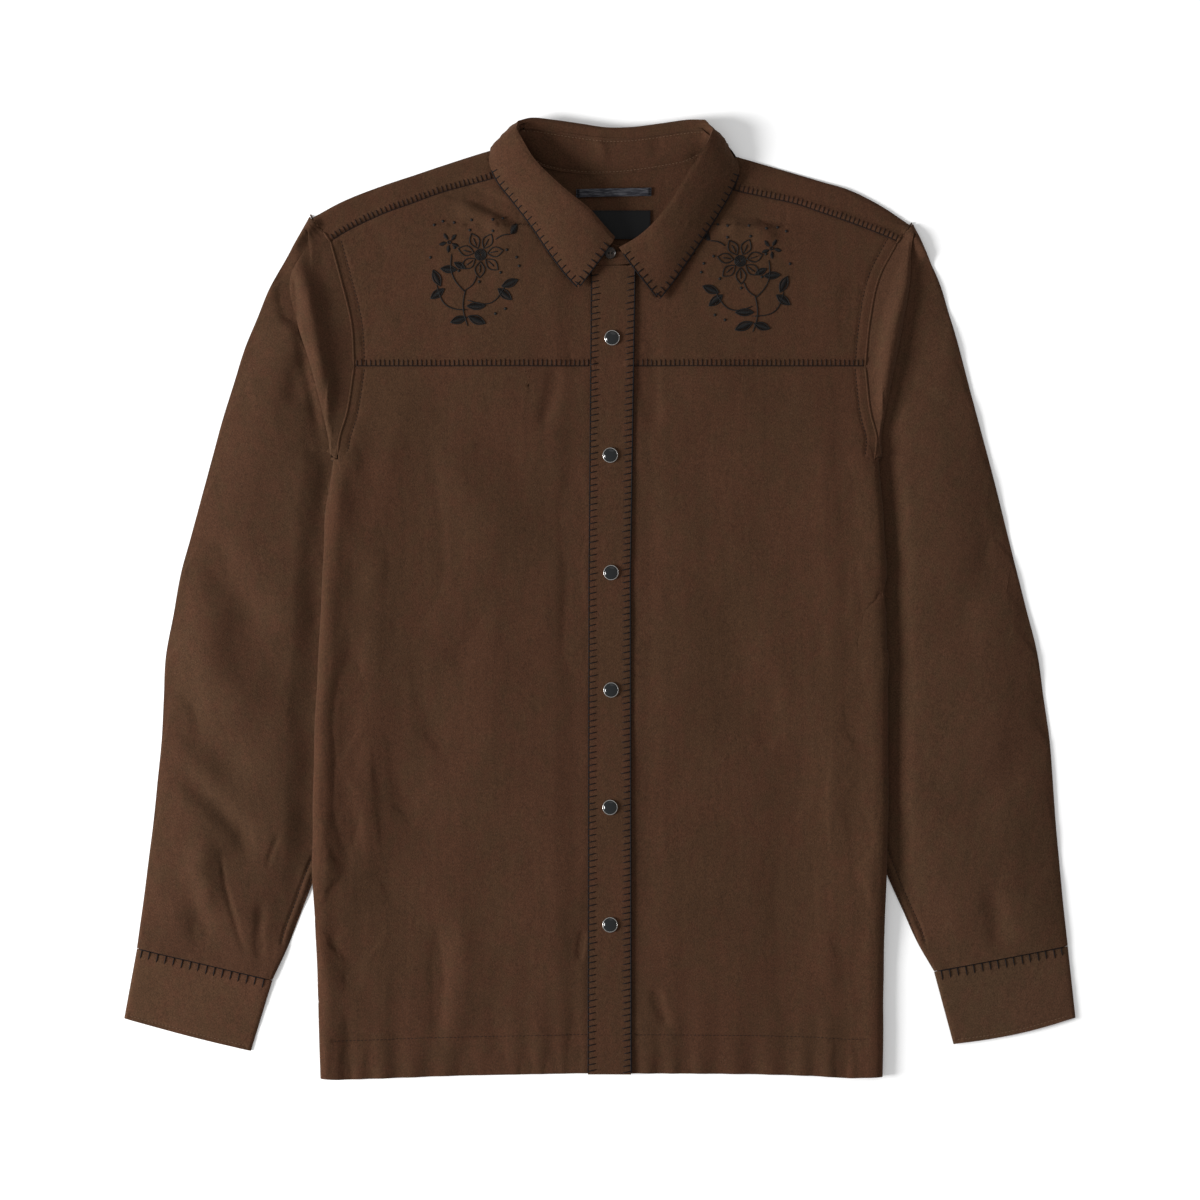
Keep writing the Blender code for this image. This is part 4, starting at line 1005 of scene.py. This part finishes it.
def ladder(work, laid, node, line, style, slant=0.0, edge=1.0):
    # Stitches over an edge and into the cloth, with a thread along the edge
    pitch, length, wander, radius = style
    rng = np.random.default_rng(len(line[0]))
    for place, run, way in zip(*resampled(*line, pitch * mm)):
        way = unit(way + slant * run) if slant else way
        full = length * (1 + wander * rng.normal())
        shift = trimStitch["shift"] * wander * pitch * rng.normal() * mm * run
        steps = (trimStitch["first"], *(share * full for share in trimStitch["steps"]))
        path = np.array([place + shift + way * t * mm for t in steps])
        path, shown = laid.on(node, path, radius * (1 - threads["sink"]))
        if not shown:
            continue
        start = place + shift - way * trimStitch["overEdge"] * mm
        start[2] = place[2] - trimStitch["under"] * mm
        path[-1, 2] -= trimStitch["dive"] * radius * mm
        work.run(np.vstack([start, path]), radius)
    path, _, _ = resampled(*line, trimStitch["edgePitch"])
    path = path + (0, 0, trimStitch["edgeLift"])
    tall, turn = trimStitch["edgeWave"]
    path[:, 2] += tall * np.sin(np.arange(len(path)) * turn)
    work.run(path, threads["edge"] * edge)


def topstitch(work, laid, node, line, style):
    # A row of machine stitches; those that something covers are left out
    pitch, length, radius = style
    places, along, _ = resampled(*line, pitch * mm)
    for place, run in zip(places, along):
        path = np.array([place + run * t * length * mm for t in machineStitch["steps"]])
        path, shown = laid.on(node, path, machineStitch["lift"] * radius)
        if shown:
            path[[0, -1], 2] -= machineStitch["dive"] * radius * mm
            work.run(path, radius)


# Materials

cloth = {
    "main": (0.0468, 0.0218, 0.0113, 1),
    "warm": (0.0540, 0.0210, 0.0112, 1),
    "olive": (0.0455, 0.0222, 0.0108, 1),
    "fibre": (0.1150, 0.0700, 0.0460, 1),
    "fibreShare": 0.2,
    "sleeveTurn": 14,  # degrees: the weave runs along each sleeve
    "twillPitch": 0.95 * mm,
    "sheen": 0.07,
    "sheenTint": (0.62, 0.44, 0.33, 1),
}
# How the weave turns on the arms, and how much lighter their twill is painted: painted light, as more
# light falls on the arms and cuffs
armWeaveAndPaintedLight = {
    "sleeve_right": (-1, (1.02, 1.06, 1.08)),
    "sleeve_left": (1, (1.08, 1.15, 1.18)),
    "cuff_right": (-1, (1.25, 1.30, 1.34)),
    "cuff_left": (1, (1.16, 1.30, 1.36)),
}
yarns = {
    # colour, gloss
    "darkThread": ((0.0048, 0.0036, 0.0042), 0.12),
    "blackFloss": ((0.0040, 0.0036, 0.0036), 0.2),
    "brownThread": ((0.0150, 0.0080, 0.0060), 0.1),
    "tanThread": ((0.115, 0.066, 0.038), 0.15),
}
tape = {"navy": (0.013, 0.013, 0.018, 1), "grey": (0.062, 0.062, 0.070, 1)}
labelColour = (0.0035, 0.0035, 0.0038, 1)
metals = {
    # colour, roughness, metallic
    "snapRingMetal": ((0.50, 0.49, 0.47), 0.3, 1.0),
    "snapCapGloss": ((0.0035, 0.0045, 0.005), 0.13, 0.0),
}
horn = {"dark": (0.006, 0.0045, 0.004, 1), "light": (0.022, 0.014, 0.010, 1)}


def plug(tree, socket, value):
    if isinstance(value, bpy.types.NodeSocket):
        tree.links.new(value, socket)
    else:
        socket.default_value = value


def put(tree, kind, settings=None, **inputs):
    # A node with its settings, and values or sockets on its inputs; _ stands for a space in a name
    added = tree.nodes.new("ShaderNode" + kind)
    for key, value in (settings or {}).items():
        setattr(added, key, value)
    for key, value in inputs.items():
        numbered = key.startswith("in") and key[2:].isdigit()
        plug(tree, added.inputs[int(key[2:]) if numbered else key.replace("_", " ")], value)
    return added


def newGroup(name, inputs):
    # A group of shader nodes that gives a colour, a roughness and a height
    tree = bpy.data.node_groups.new(name, "ShaderNodeTree")
    for label, kind, value in inputs:
        socket = tree.interface.new_socket(name=label, in_out="INPUT", socket_type="NodeSocket" + kind)
        if value is not None:
            socket.default_value = value
    for label, kind in (("Color", "Color"), ("Roughness", "Float"), ("Height", "Float")):
        tree.interface.new_socket(name=label, in_out="OUTPUT", socket_type="NodeSocket" + kind)
    return tree, tree.nodes.new("NodeGroupInput").outputs, tree.nodes.new("NodeGroupOutput").inputs


def finishGroup(tree, out, *values):
    for socket, value in zip(out, values):
        tree.links.new(value, socket)
    return tree


def math2(tree, operation, a, b=0.0):
    return put(tree, "Math", {"operation": operation}, in0=a, in1=b).outputs[0]


def total(tree, *parts, plus=None):
    # The sum of sockets, each times its share
    result = None
    for value, share in parts:
        part = math2(tree, "MULTIPLY", value, share)
        result = part if result is None else math2(tree, "ADD", result, part)
    return result if plus is None else math2(tree, "ADD", result, plus)


def scaled(tree, colour, share):
    return put(tree, "VectorMath", {"operation": "SCALE"}, in0=colour, Scale=share).outputs[0]


def mixed(tree, share, first, second):
    added = put(tree, "Mix", {"data_type": "RGBA"}, Factor=share)
    plug(tree, added.inputs[6], first)
    plug(tree, added.inputs[7], second)
    return added.outputs[2]


def noiseAt(tree, vector, stretch, detail=2.0, rough=0.5):
    # Noise whose grains are this size in millimetres along each axis
    scale = tuple(1 / (grain * mm) for grain in stretch)
    place = put(tree, "VectorMath", {"operation": "MULTIPLY"}, in0=vector, in1=scale).outputs[0]
    made = put(tree, "TexNoise", None, Vector=place, Scale=1.0, Detail=detail, Roughness=rough)
    return made.outputs["Fac"]


def between(tree, value, low, high):
    smoothly = {"interpolation_type": "SMOOTHSTEP"}
    return put(tree, "MapRange", smoothly, Value=value, in1=low, in2=high).outputs[0]


def useGroup(tree, group, **inputs):
    return put(tree, "Group", {"node_tree": group}, **inputs)


def twillGroup():
    # Brushed twill: colour patches, mottled nap with loose fibres, and diagonal ribs
    colours = [(key.capitalize(), "Color", cloth[key]) for key in ("main", "warm", "olive", "fibre")]
    tree, given, out = newGroup("brushedTwill", [
        ("Vector", "Vector", None), *colours, ("Fibre Amount", "Float", cloth["fibreShare"])])
    place = given["Vector"]
    wide, local = noiseAt(tree, place, (70, 90, 40)), noiseAt(tree, place, (9, 12, 9), 3.0)
    patches = between(tree, total(tree, (wide, 0.5), (local, 0.5)), 0.40, 0.60)
    streaks = noiseAt(tree, place, (5, 38, 20), 3.0)
    mottle = noiseAt(tree, place, (3.2, 4.6, 3.2), 3.0)
    grain = noiseAt(tree, place, (0.95, 1.25, 1.0), 2.0, 0.6)
    nap = noiseAt(tree, place, (0.55, 1.9, 0.6), 1.0)
    colour = mixed(tree, patches, given["Warm"], given["Olive"])
    colour = mixed(tree, 0.45, colour, given["Main"])
    # Each noise is 0.5 on average, so that their sum keeps the light at 1
    light = total(tree, (streaks, 0.28), (mottle, 0.34), (grain, 1.5), plus=1 - 0.5 * (0.28 + 0.34 + 1.5))
    fluff = math2(tree, "MULTIPLY", between(tree, nap, 0.60, 0.74), given["Fibre Amount"])
    x, y, _ = put(tree, "SeparateXYZ", None, Vector=place).outputs
    slope = total(tree, (x, 0.707), (y, -0.707), (mottle, 0.0004))
    wave = math2(tree, "SINE", math2(tree, "MULTIPLY", slope, 2 * math.pi / cloth["twillPitch"]))
    return finishGroup(tree, out, mixed(tree, fluff, scaled(tree, colour, light), given["Fibre"]),
                       total(tree, (grain, 0.12), plus=0.84),
                       total(tree, (wave, 0.16), (grain, 1.0), (nap, 0.5)))


def yarnGroup():
    tree, given, out = newGroup("spunYarn", [
        ("Vector", "Vector", None), ("Color", "Color", (0.02, 0.02, 0.03, 1)), ("Depth", "Float", 0.5)])
    strands = noiseAt(tree, given["Vector"], (0.5, 0.5, 0.5), 2.0)
    soft = noiseAt(tree, given["Vector"], (4, 4, 4))
    light = math2(tree, "MULTIPLY", math2(tree, "SUBTRACT", strands, 0.5), given["Depth"])
    light = math2(tree, "ADD", light, total(tree, (soft, 0.3), plus=0.85))
    rough = total(tree, (soft, 0.15), plus=0.55)
    return finishGroup(tree, out, scaled(tree, given["Color"], light), rough, strands)


def metalGroup():
    # Turned metal: a fine unevenness in its gloss and faint scratches
    tree, given, out = newGroup("turnedMetal", [
        ("Vector", "Vector", None), ("Color", "Color", (0.5, 0.5, 0.5, 1)), ("Gloss", "Float", 0.3)])
    wearAndPaintedLight = noiseAt(tree, given["Vector"], (1.4, 1.4, 1.4), 3.0)
    return finishGroup(tree, out, scaled(tree, given["Color"], total(tree, (wearAndPaintedLight, 0.4), plus=0.8)),
                       total(tree, (wearAndPaintedLight, 0.16), (given["Gloss"], 1.0), plus=-0.08),
                       noiseAt(tree, given["Vector"], (0.25, 2.2, 0.6), 2.0))


def newMaterial(name, colour):
    material = bpy.data.materials.new(name)
    material.diffuse_color = colour
    material.use_nodes = True
    tree = material.node_tree
    return material, tree, tree.nodes["Principled BSDF"]


def objectPlace(tree, turn=0.0):
    place = put(tree, "TexCoord").outputs["Object"]
    if turn:
        return put(tree, "Mapping", None, Vector=place, Rotation=(0, 0, math.radians(turn))).outputs[0]
    return place


def finishWith(tree, surface, colour, rough, height, strength, depth):
    plug(tree, surface.inputs["Base Color"], colour)
    plug(tree, surface.inputs["Roughness"], rough)
    bump = put(tree, "Bump", None, Height=height, Strength=strength, Distance=depth)
    plug(tree, surface.inputs["Normal"], bump.outputs[0])


def twillMaterial(name, group, turn=0.0, tint=(1.0, 1.0, 1.0)):
    material, tree, surface = newMaterial(name, cloth["main"])
    made = useGroup(tree, group, Vector=objectPlace(tree, turn))
    # tint makes a lighter copy of the twill: painted light on the arms and cuffs
    for key in ("Main", "Warm", "Olive"):
        made.inputs[key].default_value = (*(a * b for a, b in zip(cloth[key.lower()], tint)), 1)
    finishWith(tree, surface, *made.outputs[:3], 0.55, 0.35 * mm)
    setInputs(surface, Specular_IOR_Level=0.06, Sheen_Weight=cloth["sheen"], Sheen_Roughness=0.6,
              Sheen_Tint=cloth["sheenTint"])
    return material


def yarnMaterial(name, group, colour, specular):
    material, tree, surface = newMaterial(name, (*colour, 1))
    made = useGroup(tree, group, Vector=objectPlace(tree), Color=(*colour, 1), Depth=0.6)
    finishWith(tree, surface, *made.outputs[:3], 0.6, 0.15 * mm)
    setInputs(surface, Specular_IOR_Level=specular)
    return material


def tapeMaterial(group):
    # A woven tape of navy and grey yarns that show by turns
    material, tree, surface = newMaterial("mottledTape", (0.02, 0.022, 0.03, 1))
    place = objectPlace(tree)
    checks = between(tree, noiseAt(tree, place, (7.0, 0.8, 2.0), 2.0), 0.42, 0.66)
    colour = mixed(tree, checks, tape["navy"], tape["grey"])
    made = useGroup(tree, group, Vector=place, Color=colour, Depth=0.5)
    finishWith(tree, surface, *made.outputs[:3], 0.7, 0.25 * mm)
    setInputs(surface, Specular_IOR_Level=0.2)
    return material


def labelMaterial(group):
    # Black satin: fine lengthwise floats, with no lettering
    material, tree, surface = newMaterial("plainSatin", (0.01, 0.01, 0.012, 1))
    place = objectPlace(tree)
    floats = noiseAt(tree, place, (2.4, 0.3, 1.0), 2.0)
    made = useGroup(tree, group, Vector=place, Color=labelColour, Depth=0.3)
    rough = total(tree, (floats, 0.2), plus=0.38)
    finishWith(tree, surface, made.outputs["Color"], rough, floats, 0.4, 0.1 * mm)
    setInputs(surface, Specular_IOR_Level=0.16)
    return material


def metalMaterial(name, group):
    colour, gloss, metallic = metals[name]
    material, tree, surface = newMaterial(name, (*colour, 1))
    made = useGroup(tree, group, Vector=objectPlace(tree), Color=(*colour, 1), Gloss=gloss)
    finishWith(tree, surface, *made.outputs[:3], 0.15, 0.05 * mm)
    setInputs(surface, Metallic=metallic, Specular_IOR_Level=0.5)
    return material


def hornMaterial():
    material, tree, surface = newMaterial("darkHorn", (0.03, 0.022, 0.018, 1))
    streak = between(tree, noiseAt(tree, objectPlace(tree), (1.2, 4.5, 2.0), 3.0), 0.4, 0.68)
    finishWith(tree, surface, mixed(tree, streak, horn["dark"], horn["light"]),
               total(tree, (streak, 0.12), plus=0.24), streak, 0.2, 0.05 * mm)
    setInputs(surface, Specular_IOR_Level=0.25)
    return material


# Snaps and the collar's button

snapShape = {
    "count": 6,
    "capRadius": 5.35,
    "capSink": 0.5,  # how far below the ring's crest the cap's dome begins
    "ringInner": 5.25,
    "ringOuter": 6.1,
    "ringTop": 1.5,  # from the top of the snap down to the ring's crest
    "ringRound": 0.62,
    "foot": 0.1,
    "sides": 64,
    "sharp": 55,
}
buttonShape = {
    "thick": 1.9,
    "holes": (1.25, 0.5625, 0.35, 1.3),  # their place, radius, width of wall and depth
    "rings": 26,
    "sides": 72,
    "rim": (0.42, 0.82, 0.10),  # its height, and its place and width as shares of the radius
    "roundedFrom": 0.9,
    "roundedDrop": 0.55,
    "crestDrop": 0.45,  # from the top of its solid down to the button's face
}


def turnedSurface(profile, sides):
    # Rings of points about an axis, each with a radius and a height
    cosine, sine = circle(sides)
    rings = [(radius * cosine, radius * sine, np.full(sides, height)) for radius, height in profile]
    return np.concatenate([np.column_stack(ring) for ring in rings])


def solidPiece(name, points, pairs, sides, material, weld, tiny, **looks):
    # A closed surface over pairs of rings of points
    faces = []
    for a, b in pairs:
        for k in range(sides):
            after = (k + 1) % sides
            faces.append((a * sides + k, a * sides + after, b * sides + after, b * sides + k))
    bm = bmeshOf(points, faces)
    bmesh.ops.remove_doubles(bm, verts=bm.verts, dist=weld)
    bmesh.ops.dissolve_degenerate(bm, edges=bm.edges, dist=tiny)
    bmesh.ops.recalc_face_normals(bm, faces=bm.faces)
    mesh = bpy.data.meshes.new(name)
    bm.to_mesh(mesh)
    bm.free()
    return addPiece(name, mesh, material, **looks)


def turned(name, profile, place, material):
    # A solid of revolution, whose profile runs from the axis or round a closed ring
    sides, last = snapShape["sides"], len(profile) - 1
    pairs = [(k, k + 1) for k in range(last)]
    if profile[0][0] > 0:
        pairs.append((last, 0))
    return solidPiece(name, turnedSurface(profile, sides) * mm, pairs, sides, material, 1e-7, 1e-8,
                      sharp=snapShape["sharp"], place=place)


def addSnaps(ringMetal, capMetal):
    inner, outer, foot = snapShape["ringInner"], snapShape["ringOuter"], snapShape["foot"]
    wide, centre, lip = (outer - inner) / 2, (outer + inner) / 2, snapShape["ringRound"]
    cap, sink = snapShape["capRadius"], snapShape["capSink"]
    for number in range(1, snapShape["count"] + 1):
        node = f"snap_{number}"
        low, high = (np.array(corner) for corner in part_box(node))
        place = (*((low + high) / 2)[:2], low[2])
        tall = (high[2] - low[2]) / mm
        crest = tall - snapShape["ringTop"]
        rim = [(centre + wide * math.cos(t), crest - lip + lip * math.sin(t))
               for t in np.linspace(0, np.pi, 9)]
        dome = [(cap * math.sin(t), crest - sink + (tall - crest + sink) * math.cos(t))
                for t in np.linspace(0, np.pi / 2, 14)]
        ring = turned(f"snapRing{number}", [(outer, foot), *rim, (inner, foot)], place, ringMetal)
        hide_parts(node)
        for piece in (ring, turned(f"snapCap{number}", [*dome, (cap, foot), (0, foot)], place, capMetal)):
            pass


def addButton(material):
    # The button lies in the plane of its own solid, with two holes and a raised edge
    mesh = cadNodes["collar_button"].data
    points = np.array([v.co for v in mesh.vertices])
    low, high = (np.array(corner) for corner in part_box("collar_button"))
    top = points[points[:, 2] > low[2] + 0.55 * (high[2] - low[2])]
    middle = (top.max(axis=0) + top.min(axis=0)) / 2
    facing = unit(sum(np.array(face.normal) * face.area for face in mesh.polygons if face.normal.z > 0.5))
    radius, thick = (high[0] - low[0]) / 2 / mm - 0.05, buttonShape["thick"]
    tall, at, wide = buttonShape["rim"]
    start, drop = buttonShape["roundedFrom"], buttonShape["roundedDrop"]
    profile = []
    for step in range(buttonShape["rings"] + 1):
        share = step / buttonShape["rings"]
        rounded = drop * max(0.0, (share - start) / (1 - start)) ** 2
        profile.append((radius * share, tall * math.exp(-((share - at) / wide) ** 2) - rounded))
    under = [(radius * 0.97, 0.25 - thick), (radius * 0.88, -thick), (0.01, -thick)]
    sides = buttonShape["sides"]
    rows = turnedSurface(profile + under, sides)
    face = rows[:len(profile) * sides]
    place, inner, wall, deep = buttonShape["holes"]
    for sign in (-1, 1):
        away = np.hypot(face[:, 0] - sign * place, face[:, 1])
        face[:, 2] -= deep * (1 - smooth((away - inner) / wall))
    across = unit(np.cross((0, 1, 0), facing))
    up = np.cross(facing, across)
    base = middle + facing * (((points - middle) @ facing).max() - buttonShape["crestDrop"] * mm)
    places = base + (rows[:, :1] * across + rows[:, 1:2] * up + rows[:, 2:] * facing) * mm
    pairs = [(k, k + 1) for k in range(len(profile + under) - 1)]
    piece = solidPiece("collarButton", places, pairs, sides, material, 3e-5, 1e-7)
    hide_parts("collar_button")


# Chest embroidery: a spray of flowers and leaves, the same on both sides and mirrored

sprayMiddles = {"right": (-99.6, 262.0), "left": (116.0, 257.0)}
# Each leaf's root, tip and width as a share of its length
sprayLeaves = (
    ((-7, -36), (-20, -40), 0.2),
    ((-6, -35), (8, -41), 0.2),
    ((-7, -27), (8, -27), 0.17),
    ((18, -13), (29, -22), 0.2),
    ((21, -11.5), (34, -6), 0.2),
    ((-25, -13), (-36, -21), 0.2),
    ((-28, -11), (-34, 2), 0.2),
    ((-15, 2), (-28, 3), 0.2),
    ((-17, 8), (-8, 3), 0.2),
)
sprayKnots = ((-33, 38), (-26, 41), (-17, 40), (33, 12), (35, 5), (-36, 12), (14, 42), (22, 43), (-3, 42),
              (16, -33), (24, -29))


def arc(start, end, bow, steps=14):
    # A bowed line between two places
    start, end = np.array(start, float), np.array(end, float)
    t = np.linspace(0, 1, steps)[:, None]
    across = np.array([-(end - start)[1], (end - start)[0]])
    return start + (end - start) * t + across * bow * np.sin(np.pi * t)


def leafOutline(root, tip, wide, steps=12):
    return np.vstack([arc(root, tip, wide, steps), arc(tip, root, wide, steps)[1:-1]])


def satin(root, tip, wide, lean=0.35, pitch=0.85):
    # Slanting strands that fill a leaf
    root, tip = np.array(root, float), np.array(tip, float)
    length = np.linalg.norm(tip - root)
    along = (tip - root) / length
    across = np.array([-along[1], along[0]])
    strands = []
    for at in np.arange(0.1, 0.97, pitch / length):
        half = wide * length * math.sin(math.pi * at)
        if half > 0.4:
            middle = root + along * at * length
            slant = across * half + along * half * lean
            strands.append(np.array([middle - slant, middle, middle + slant]))
    return strands


def waysRound(count, start, extra=0.0):
    # Directions spread evenly round a flower
    turns = [2 * math.pi * (k + start) / count + extra for k in range(count)]
    return [np.array([math.cos(turn), math.sin(turn)]) for turn in turns]


def sprayLines():
    # Lines, closed outlines and knots of the design, in millimetres about its middle
    lines, outlines, knots = [], [], []
    flower, small, bud = np.array([4.0, 14.0]), np.array([-21.0, 24.0]), np.array([28.0, 30.0])
    for way in waysRound(7, 0.2):
        outlines.append(leafOutline(flower + way * 5.5, flower + way * 18.5, 0.30))
        lines.append(arc(flower + way * 7.5, flower + way * 14.5, 0.03, 6))
        knots.append(flower + way * 21.5)
    ring = np.column_stack(circle(18))
    outlines += [flower + radius * ring for radius in (1.2, 2.3, 3.4, 4.4)]
    for way in waysRound(5, 0.5, 0.2):
        lines += satin(small + way * 2.0, small + way * 8.6, 0.26)
    outlines.append(small + 1.2 * ring[::2])
    lines.append(np.vstack([arc((-6, -43), (-8, -14), 0.10), arc((-8, -14), (1, -3), -0.12)[1:]]))
    lines.append(arc((-8, -16), (-19, 15), 0.16))
    lines.append(arc((-6.5, -22), (24, -10), -0.28))
    lines.append(arc((-6, -30), (-31, -10), 0.25))
    for root, tip, wide in sprayLeaves:
        lines += satin(root, tip, wide)
        outlines.append(leafOutline(root, tip, wide + 0.02))
    lines.append(arc((16, 26), bud, 0.1))
    lines += satin(bud, bud + (6, 9), 0.3)
    return lines, outlines, knots + [np.array(place, float) for place in sprayKnots]


def addSpray(laid, side, material):
    work, radius = ThreadWork(), threads["embroidery"]
    mirror = (1 if side == "right" else -1, 1)

    def onCloth(path, lift):
        path = np.asarray(path) * mirror + sprayMiddles[side]
        return laid.on("front_yoke_" + side, path * mm, lift)

    lines, outlines, knots = sprayLines()
    for paths, closed in ((lines, False), (outlines, True)):
        for path in paths:
            placed, shown = onCloth(path, radius * 0.7)
            if shown:
                if not closed:
                    placed[[0, -1], 2] -= 0.25 * mm
                work.run(placed, radius, closed)
    for place in knots:
        placed, shown = onCloth([place], -0.1)
        if shown:
            work.knot(placed[0], *threads["knot"])
    work.piece("embroidery" + side.capitalize(), material)


# Building

# Edges that turn under in a roll: radius, how far it runs on before and after them, and how low it lies
rolled = {
    "collarFold": (1.1, 0, 0, 0.5),
    "neckSeam": (0.9, 0, 0, 0.25),
    "placketTop": (0.8, 0, 0, 0.25),
    "armholeRightYoke": (1.1, 2, 2, 0.25),
    "armholeRight": (1.1, 2, 2, 0.25),
    "armholeLeftYoke": (1.1, 2, 2, 0.25),
    "armholeLeft": (1.1, 2, 2, 0.25),
    "shoulderEndRight": (1.1, 3, 5, 0.25),
    "shoulderEndLeft": (1.1, 3, 4, 0.25),
    "cuffTopRight": (0.8, 1, 1, 1.2),
    "cuffTopLeft": (0.8, 1, 1, 1.2),
}
# Where a seam turns out of sight: its ends and its radius
turns = (
    ((-215.5, 113.0), (-206.4, 112.7), 1.3),
    ((218.2, 112.7), (226.6, 113.0), 1.3),
    ((104.2, 360.2), (109.8, 351.0), 0.8),
)
rollPitch = 2.5 * mm
rollBack = 0.3  # how far a roll lies back from its edge, as a share of its radius
turnBeside = 1.7 * mm
turnLow = 3 * mm
labelStitches = {"inset": 0.9 * mm, "places": 24}
loopStitches = {
    "inset": 1.6 * mm,
    "half": 1.2 * mm,
    "across": 9,
    "share": 0.42,
    "ends": 1.5 * mm,
    "offset": 0.5 * mm,
    "bow": 0.1 * mm,
    "lift": 0.15,
}


def buildShirt():
    coarse = {node: shellOf(*evenFlats(*meshFromNode(node))) for node in clothPieces}
    lines = allLines(coarse)
    rows = stitchRows(coarse, lines)
    near = markNear([line[0] for line in (*lines.values(), *(row for _, row in rows.values()))])
    shells = refineAll(coarse, near, ("hanger_loop", "neck_label"))
    print("cloth: panels refined to", sum(len(shell["faces"]) for shell in shells.values()), "triangles")
    lines = allLines(shells)
    rows = stitchRows(shells, lines)
    applyRelief(shells, lines, rows)
    print("cloth: folds and seams pressed in")
    return shells, allLines(shells), rows


def addCloth(shells, yarn):
    twill = twillGroup()
    body = twillMaterial("brushedTwillBody", twill)
    wearAndPaintedLight = {}
    # The arms and cuffs get lighter copies of the twill, as painted light
    for node, (turn, tint) in armWeaveAndPaintedLight.items():
        wearAndPaintedLight[node] = twillMaterial("brushedTwill_" + node, twill, turn * cloth["sleeveTurn"], tint)
    finishes = {
        "hanger_loop": (tapeMaterial(yarn), "dark_tape"),
        "neck_label": (labelMaterial(yarn), "label_weave"),
    }
    for node, shell in shells.items():
        material, slotName = finishes.get(node, (body, "brown_twill"))
        piece = clothObject(node, shell, wearAndPaintedLight.get(node, material))


def addTrim(laid, name, material, style, *jobs):
    # A job is a panel, a line on it, and perhaps the stitches' slant and the edge thread's share
    work = ThreadWork()
    for node, line, *rest in jobs:
        ladder(work, laid, node, line, trims[style], *rest)
    work.piece(name, material)


def addTrims(laid, lines, dark, brown):
    addTrim(laid, "placketTrim", dark, "placket", ("placket", lines["placketRight"], 0.22, 0.65),
            ("placket", lines["placketLeft"], -0.22, 1.15))
    leafEdges = ("leafRightFront", "leafRightSide", "leafLeftFront", "leafLeftSide")
    addTrim(laid, "collarTrim", dark, "collar", *(("collar_leaf", lines[name]) for name in leafEdges))
    for side in ("Right", "Left"):
        small = side.lower()
        addTrim(laid, "cuffTrim" + side, dark, "cuff", ("cuff_" + small, lines["cuffTop" + side]))
        addTrim(laid, "seamLadder" + side, brown, "ladder", ("front_yoke_" + small, lines["chest" + side]),
                ("yoke", lines["shoulder" + side]))


def addRolledEdges(laid, lines, material):
    work = ThreadWork()
    for name, (radius, before, after, sunk) in rolled.items():
        path, along, inward = resampled(*lines[name], rollPitch)
        path[0] -= along[0] * before * mm
        path[-1] += along[-1] * after * mm
        over = heightOver(laid.all, path[:, 0], path[:, 1])
        path[:, 2] = np.maximum(path[:, 2], over) - sunk * radius * mm
        work.run(path - rollBack * radius * inward * mm, radius)
    for start, end, radius in turns:
        path = np.column_stack([np.linspace(start, end, 7) * mm, np.zeros(7)])
        beside = turnBeside * unit(np.cross(path[-1] - path[0], (0, 0, 1.0)))
        sides = [heightOver(laid.all, *(path + way * beside)[:, :2].T) for way in (-1, 1)]
        path[:, 2] = np.maximum(np.minimum(*sides), turnLow) - rollBack * radius * mm
        work.run(path, radius)
    work.piece("rolledEdges", material)


def addTopstitch(laid, name, material, rows, *jobs):
    # A job is the name of a row and a style
    work = ThreadWork(5)
    for row, style in jobs:
        topstitch(work, laid, *rows[row], machine[style])
    work.piece(name, material)


def addSmallStitches(laid, material):
    # Round the label, and across the two ends of the loop
    work = ThreadWork(5)
    (left, low, _), (right, high, _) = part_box("neck_label")
    inset, places = labelStitches["inset"], labelStitches["places"]
    corners = np.array([(left + inset, low + inset, 0), (right - inset, low + inset, 0),
                        (right - inset, high - inset, 0), (left + inset, high - inset, 0)])
    for a, b in zip(corners, np.roll(corners, -1, axis=0)):
        line = (np.linspace(a, b, places), np.zeros((places, 3)) + (0, 0, 1))
        topstitch(work, laid, "neck_label", line, machine["label"])
    (left, low, _), (right, high, _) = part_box("hanger_loop")
    inset, half, share = (loopStitches[key] for key in ("inset", "half", "share"))
    for x, shift in ((left + inset, -loopStitches["offset"]), (right - inset, loopStitches["offset"])):
        for step in np.linspace(-share, share, loopStitches["across"]):
            y = (low + high) / 2 + step * (high - low - loopStitches["ends"]) + shift
            path = np.array([(x - half, y, 0), (x, y + loopStitches["bow"], 0), (x + half, y, 0)])
            path, _ = laid.on("hanger_loop", path, loopStitches["lift"])
            work.run(path, threads["loopStitch"])
    work.piece("smallStitches", material)


def addStitches(shells, lines, rows, yarn):
    laid = Cloth(shells)
    dark, black, brown, tan = (yarnMaterial(name, yarn, *facts) for name, facts in yarns.items())
    addTrims(laid, lines, dark, brown)
    addRolledEdges(laid, lines, bpy.data.materials["brushedTwillBody"])
    print("stitches: trim thread laid")
    jobs = []
    for side in ("Right", "Left"):
        for name in ("hem" + side, f"armhole{side}Yoke", "armhole" + side, "sleeve0" + side.lower(),
                     "sleeve1" + side.lower()):
            jobs.append((name, "body"))
    addTopstitch(laid, "bodyTopstitch", brown, rows, *jobs)
    addTopstitch(laid, "tanTopstitch", tan, rows, ("cuffLowRight", "cuff"), ("cuffLowLeft", "cuff"),
                 ("neckSeam", "neck"), ("collarFold", "neck"))
    addSmallStitches(laid, dark)
    print("stitches: topstitching laid")
    for side, _ in bothSides:
        addSpray(laid, side, black)
    print("embroidery laid")


shells, lines, rows = buildShirt()
yarn = yarnGroup()
addCloth(shells, yarn)
addStitches(shells, lines, rows, yarn)
metal = metalGroup()
addSnaps(*(metalMaterial(name, metal) for name in metals))
addButton(hornMaterial())
print("snaps and button made")
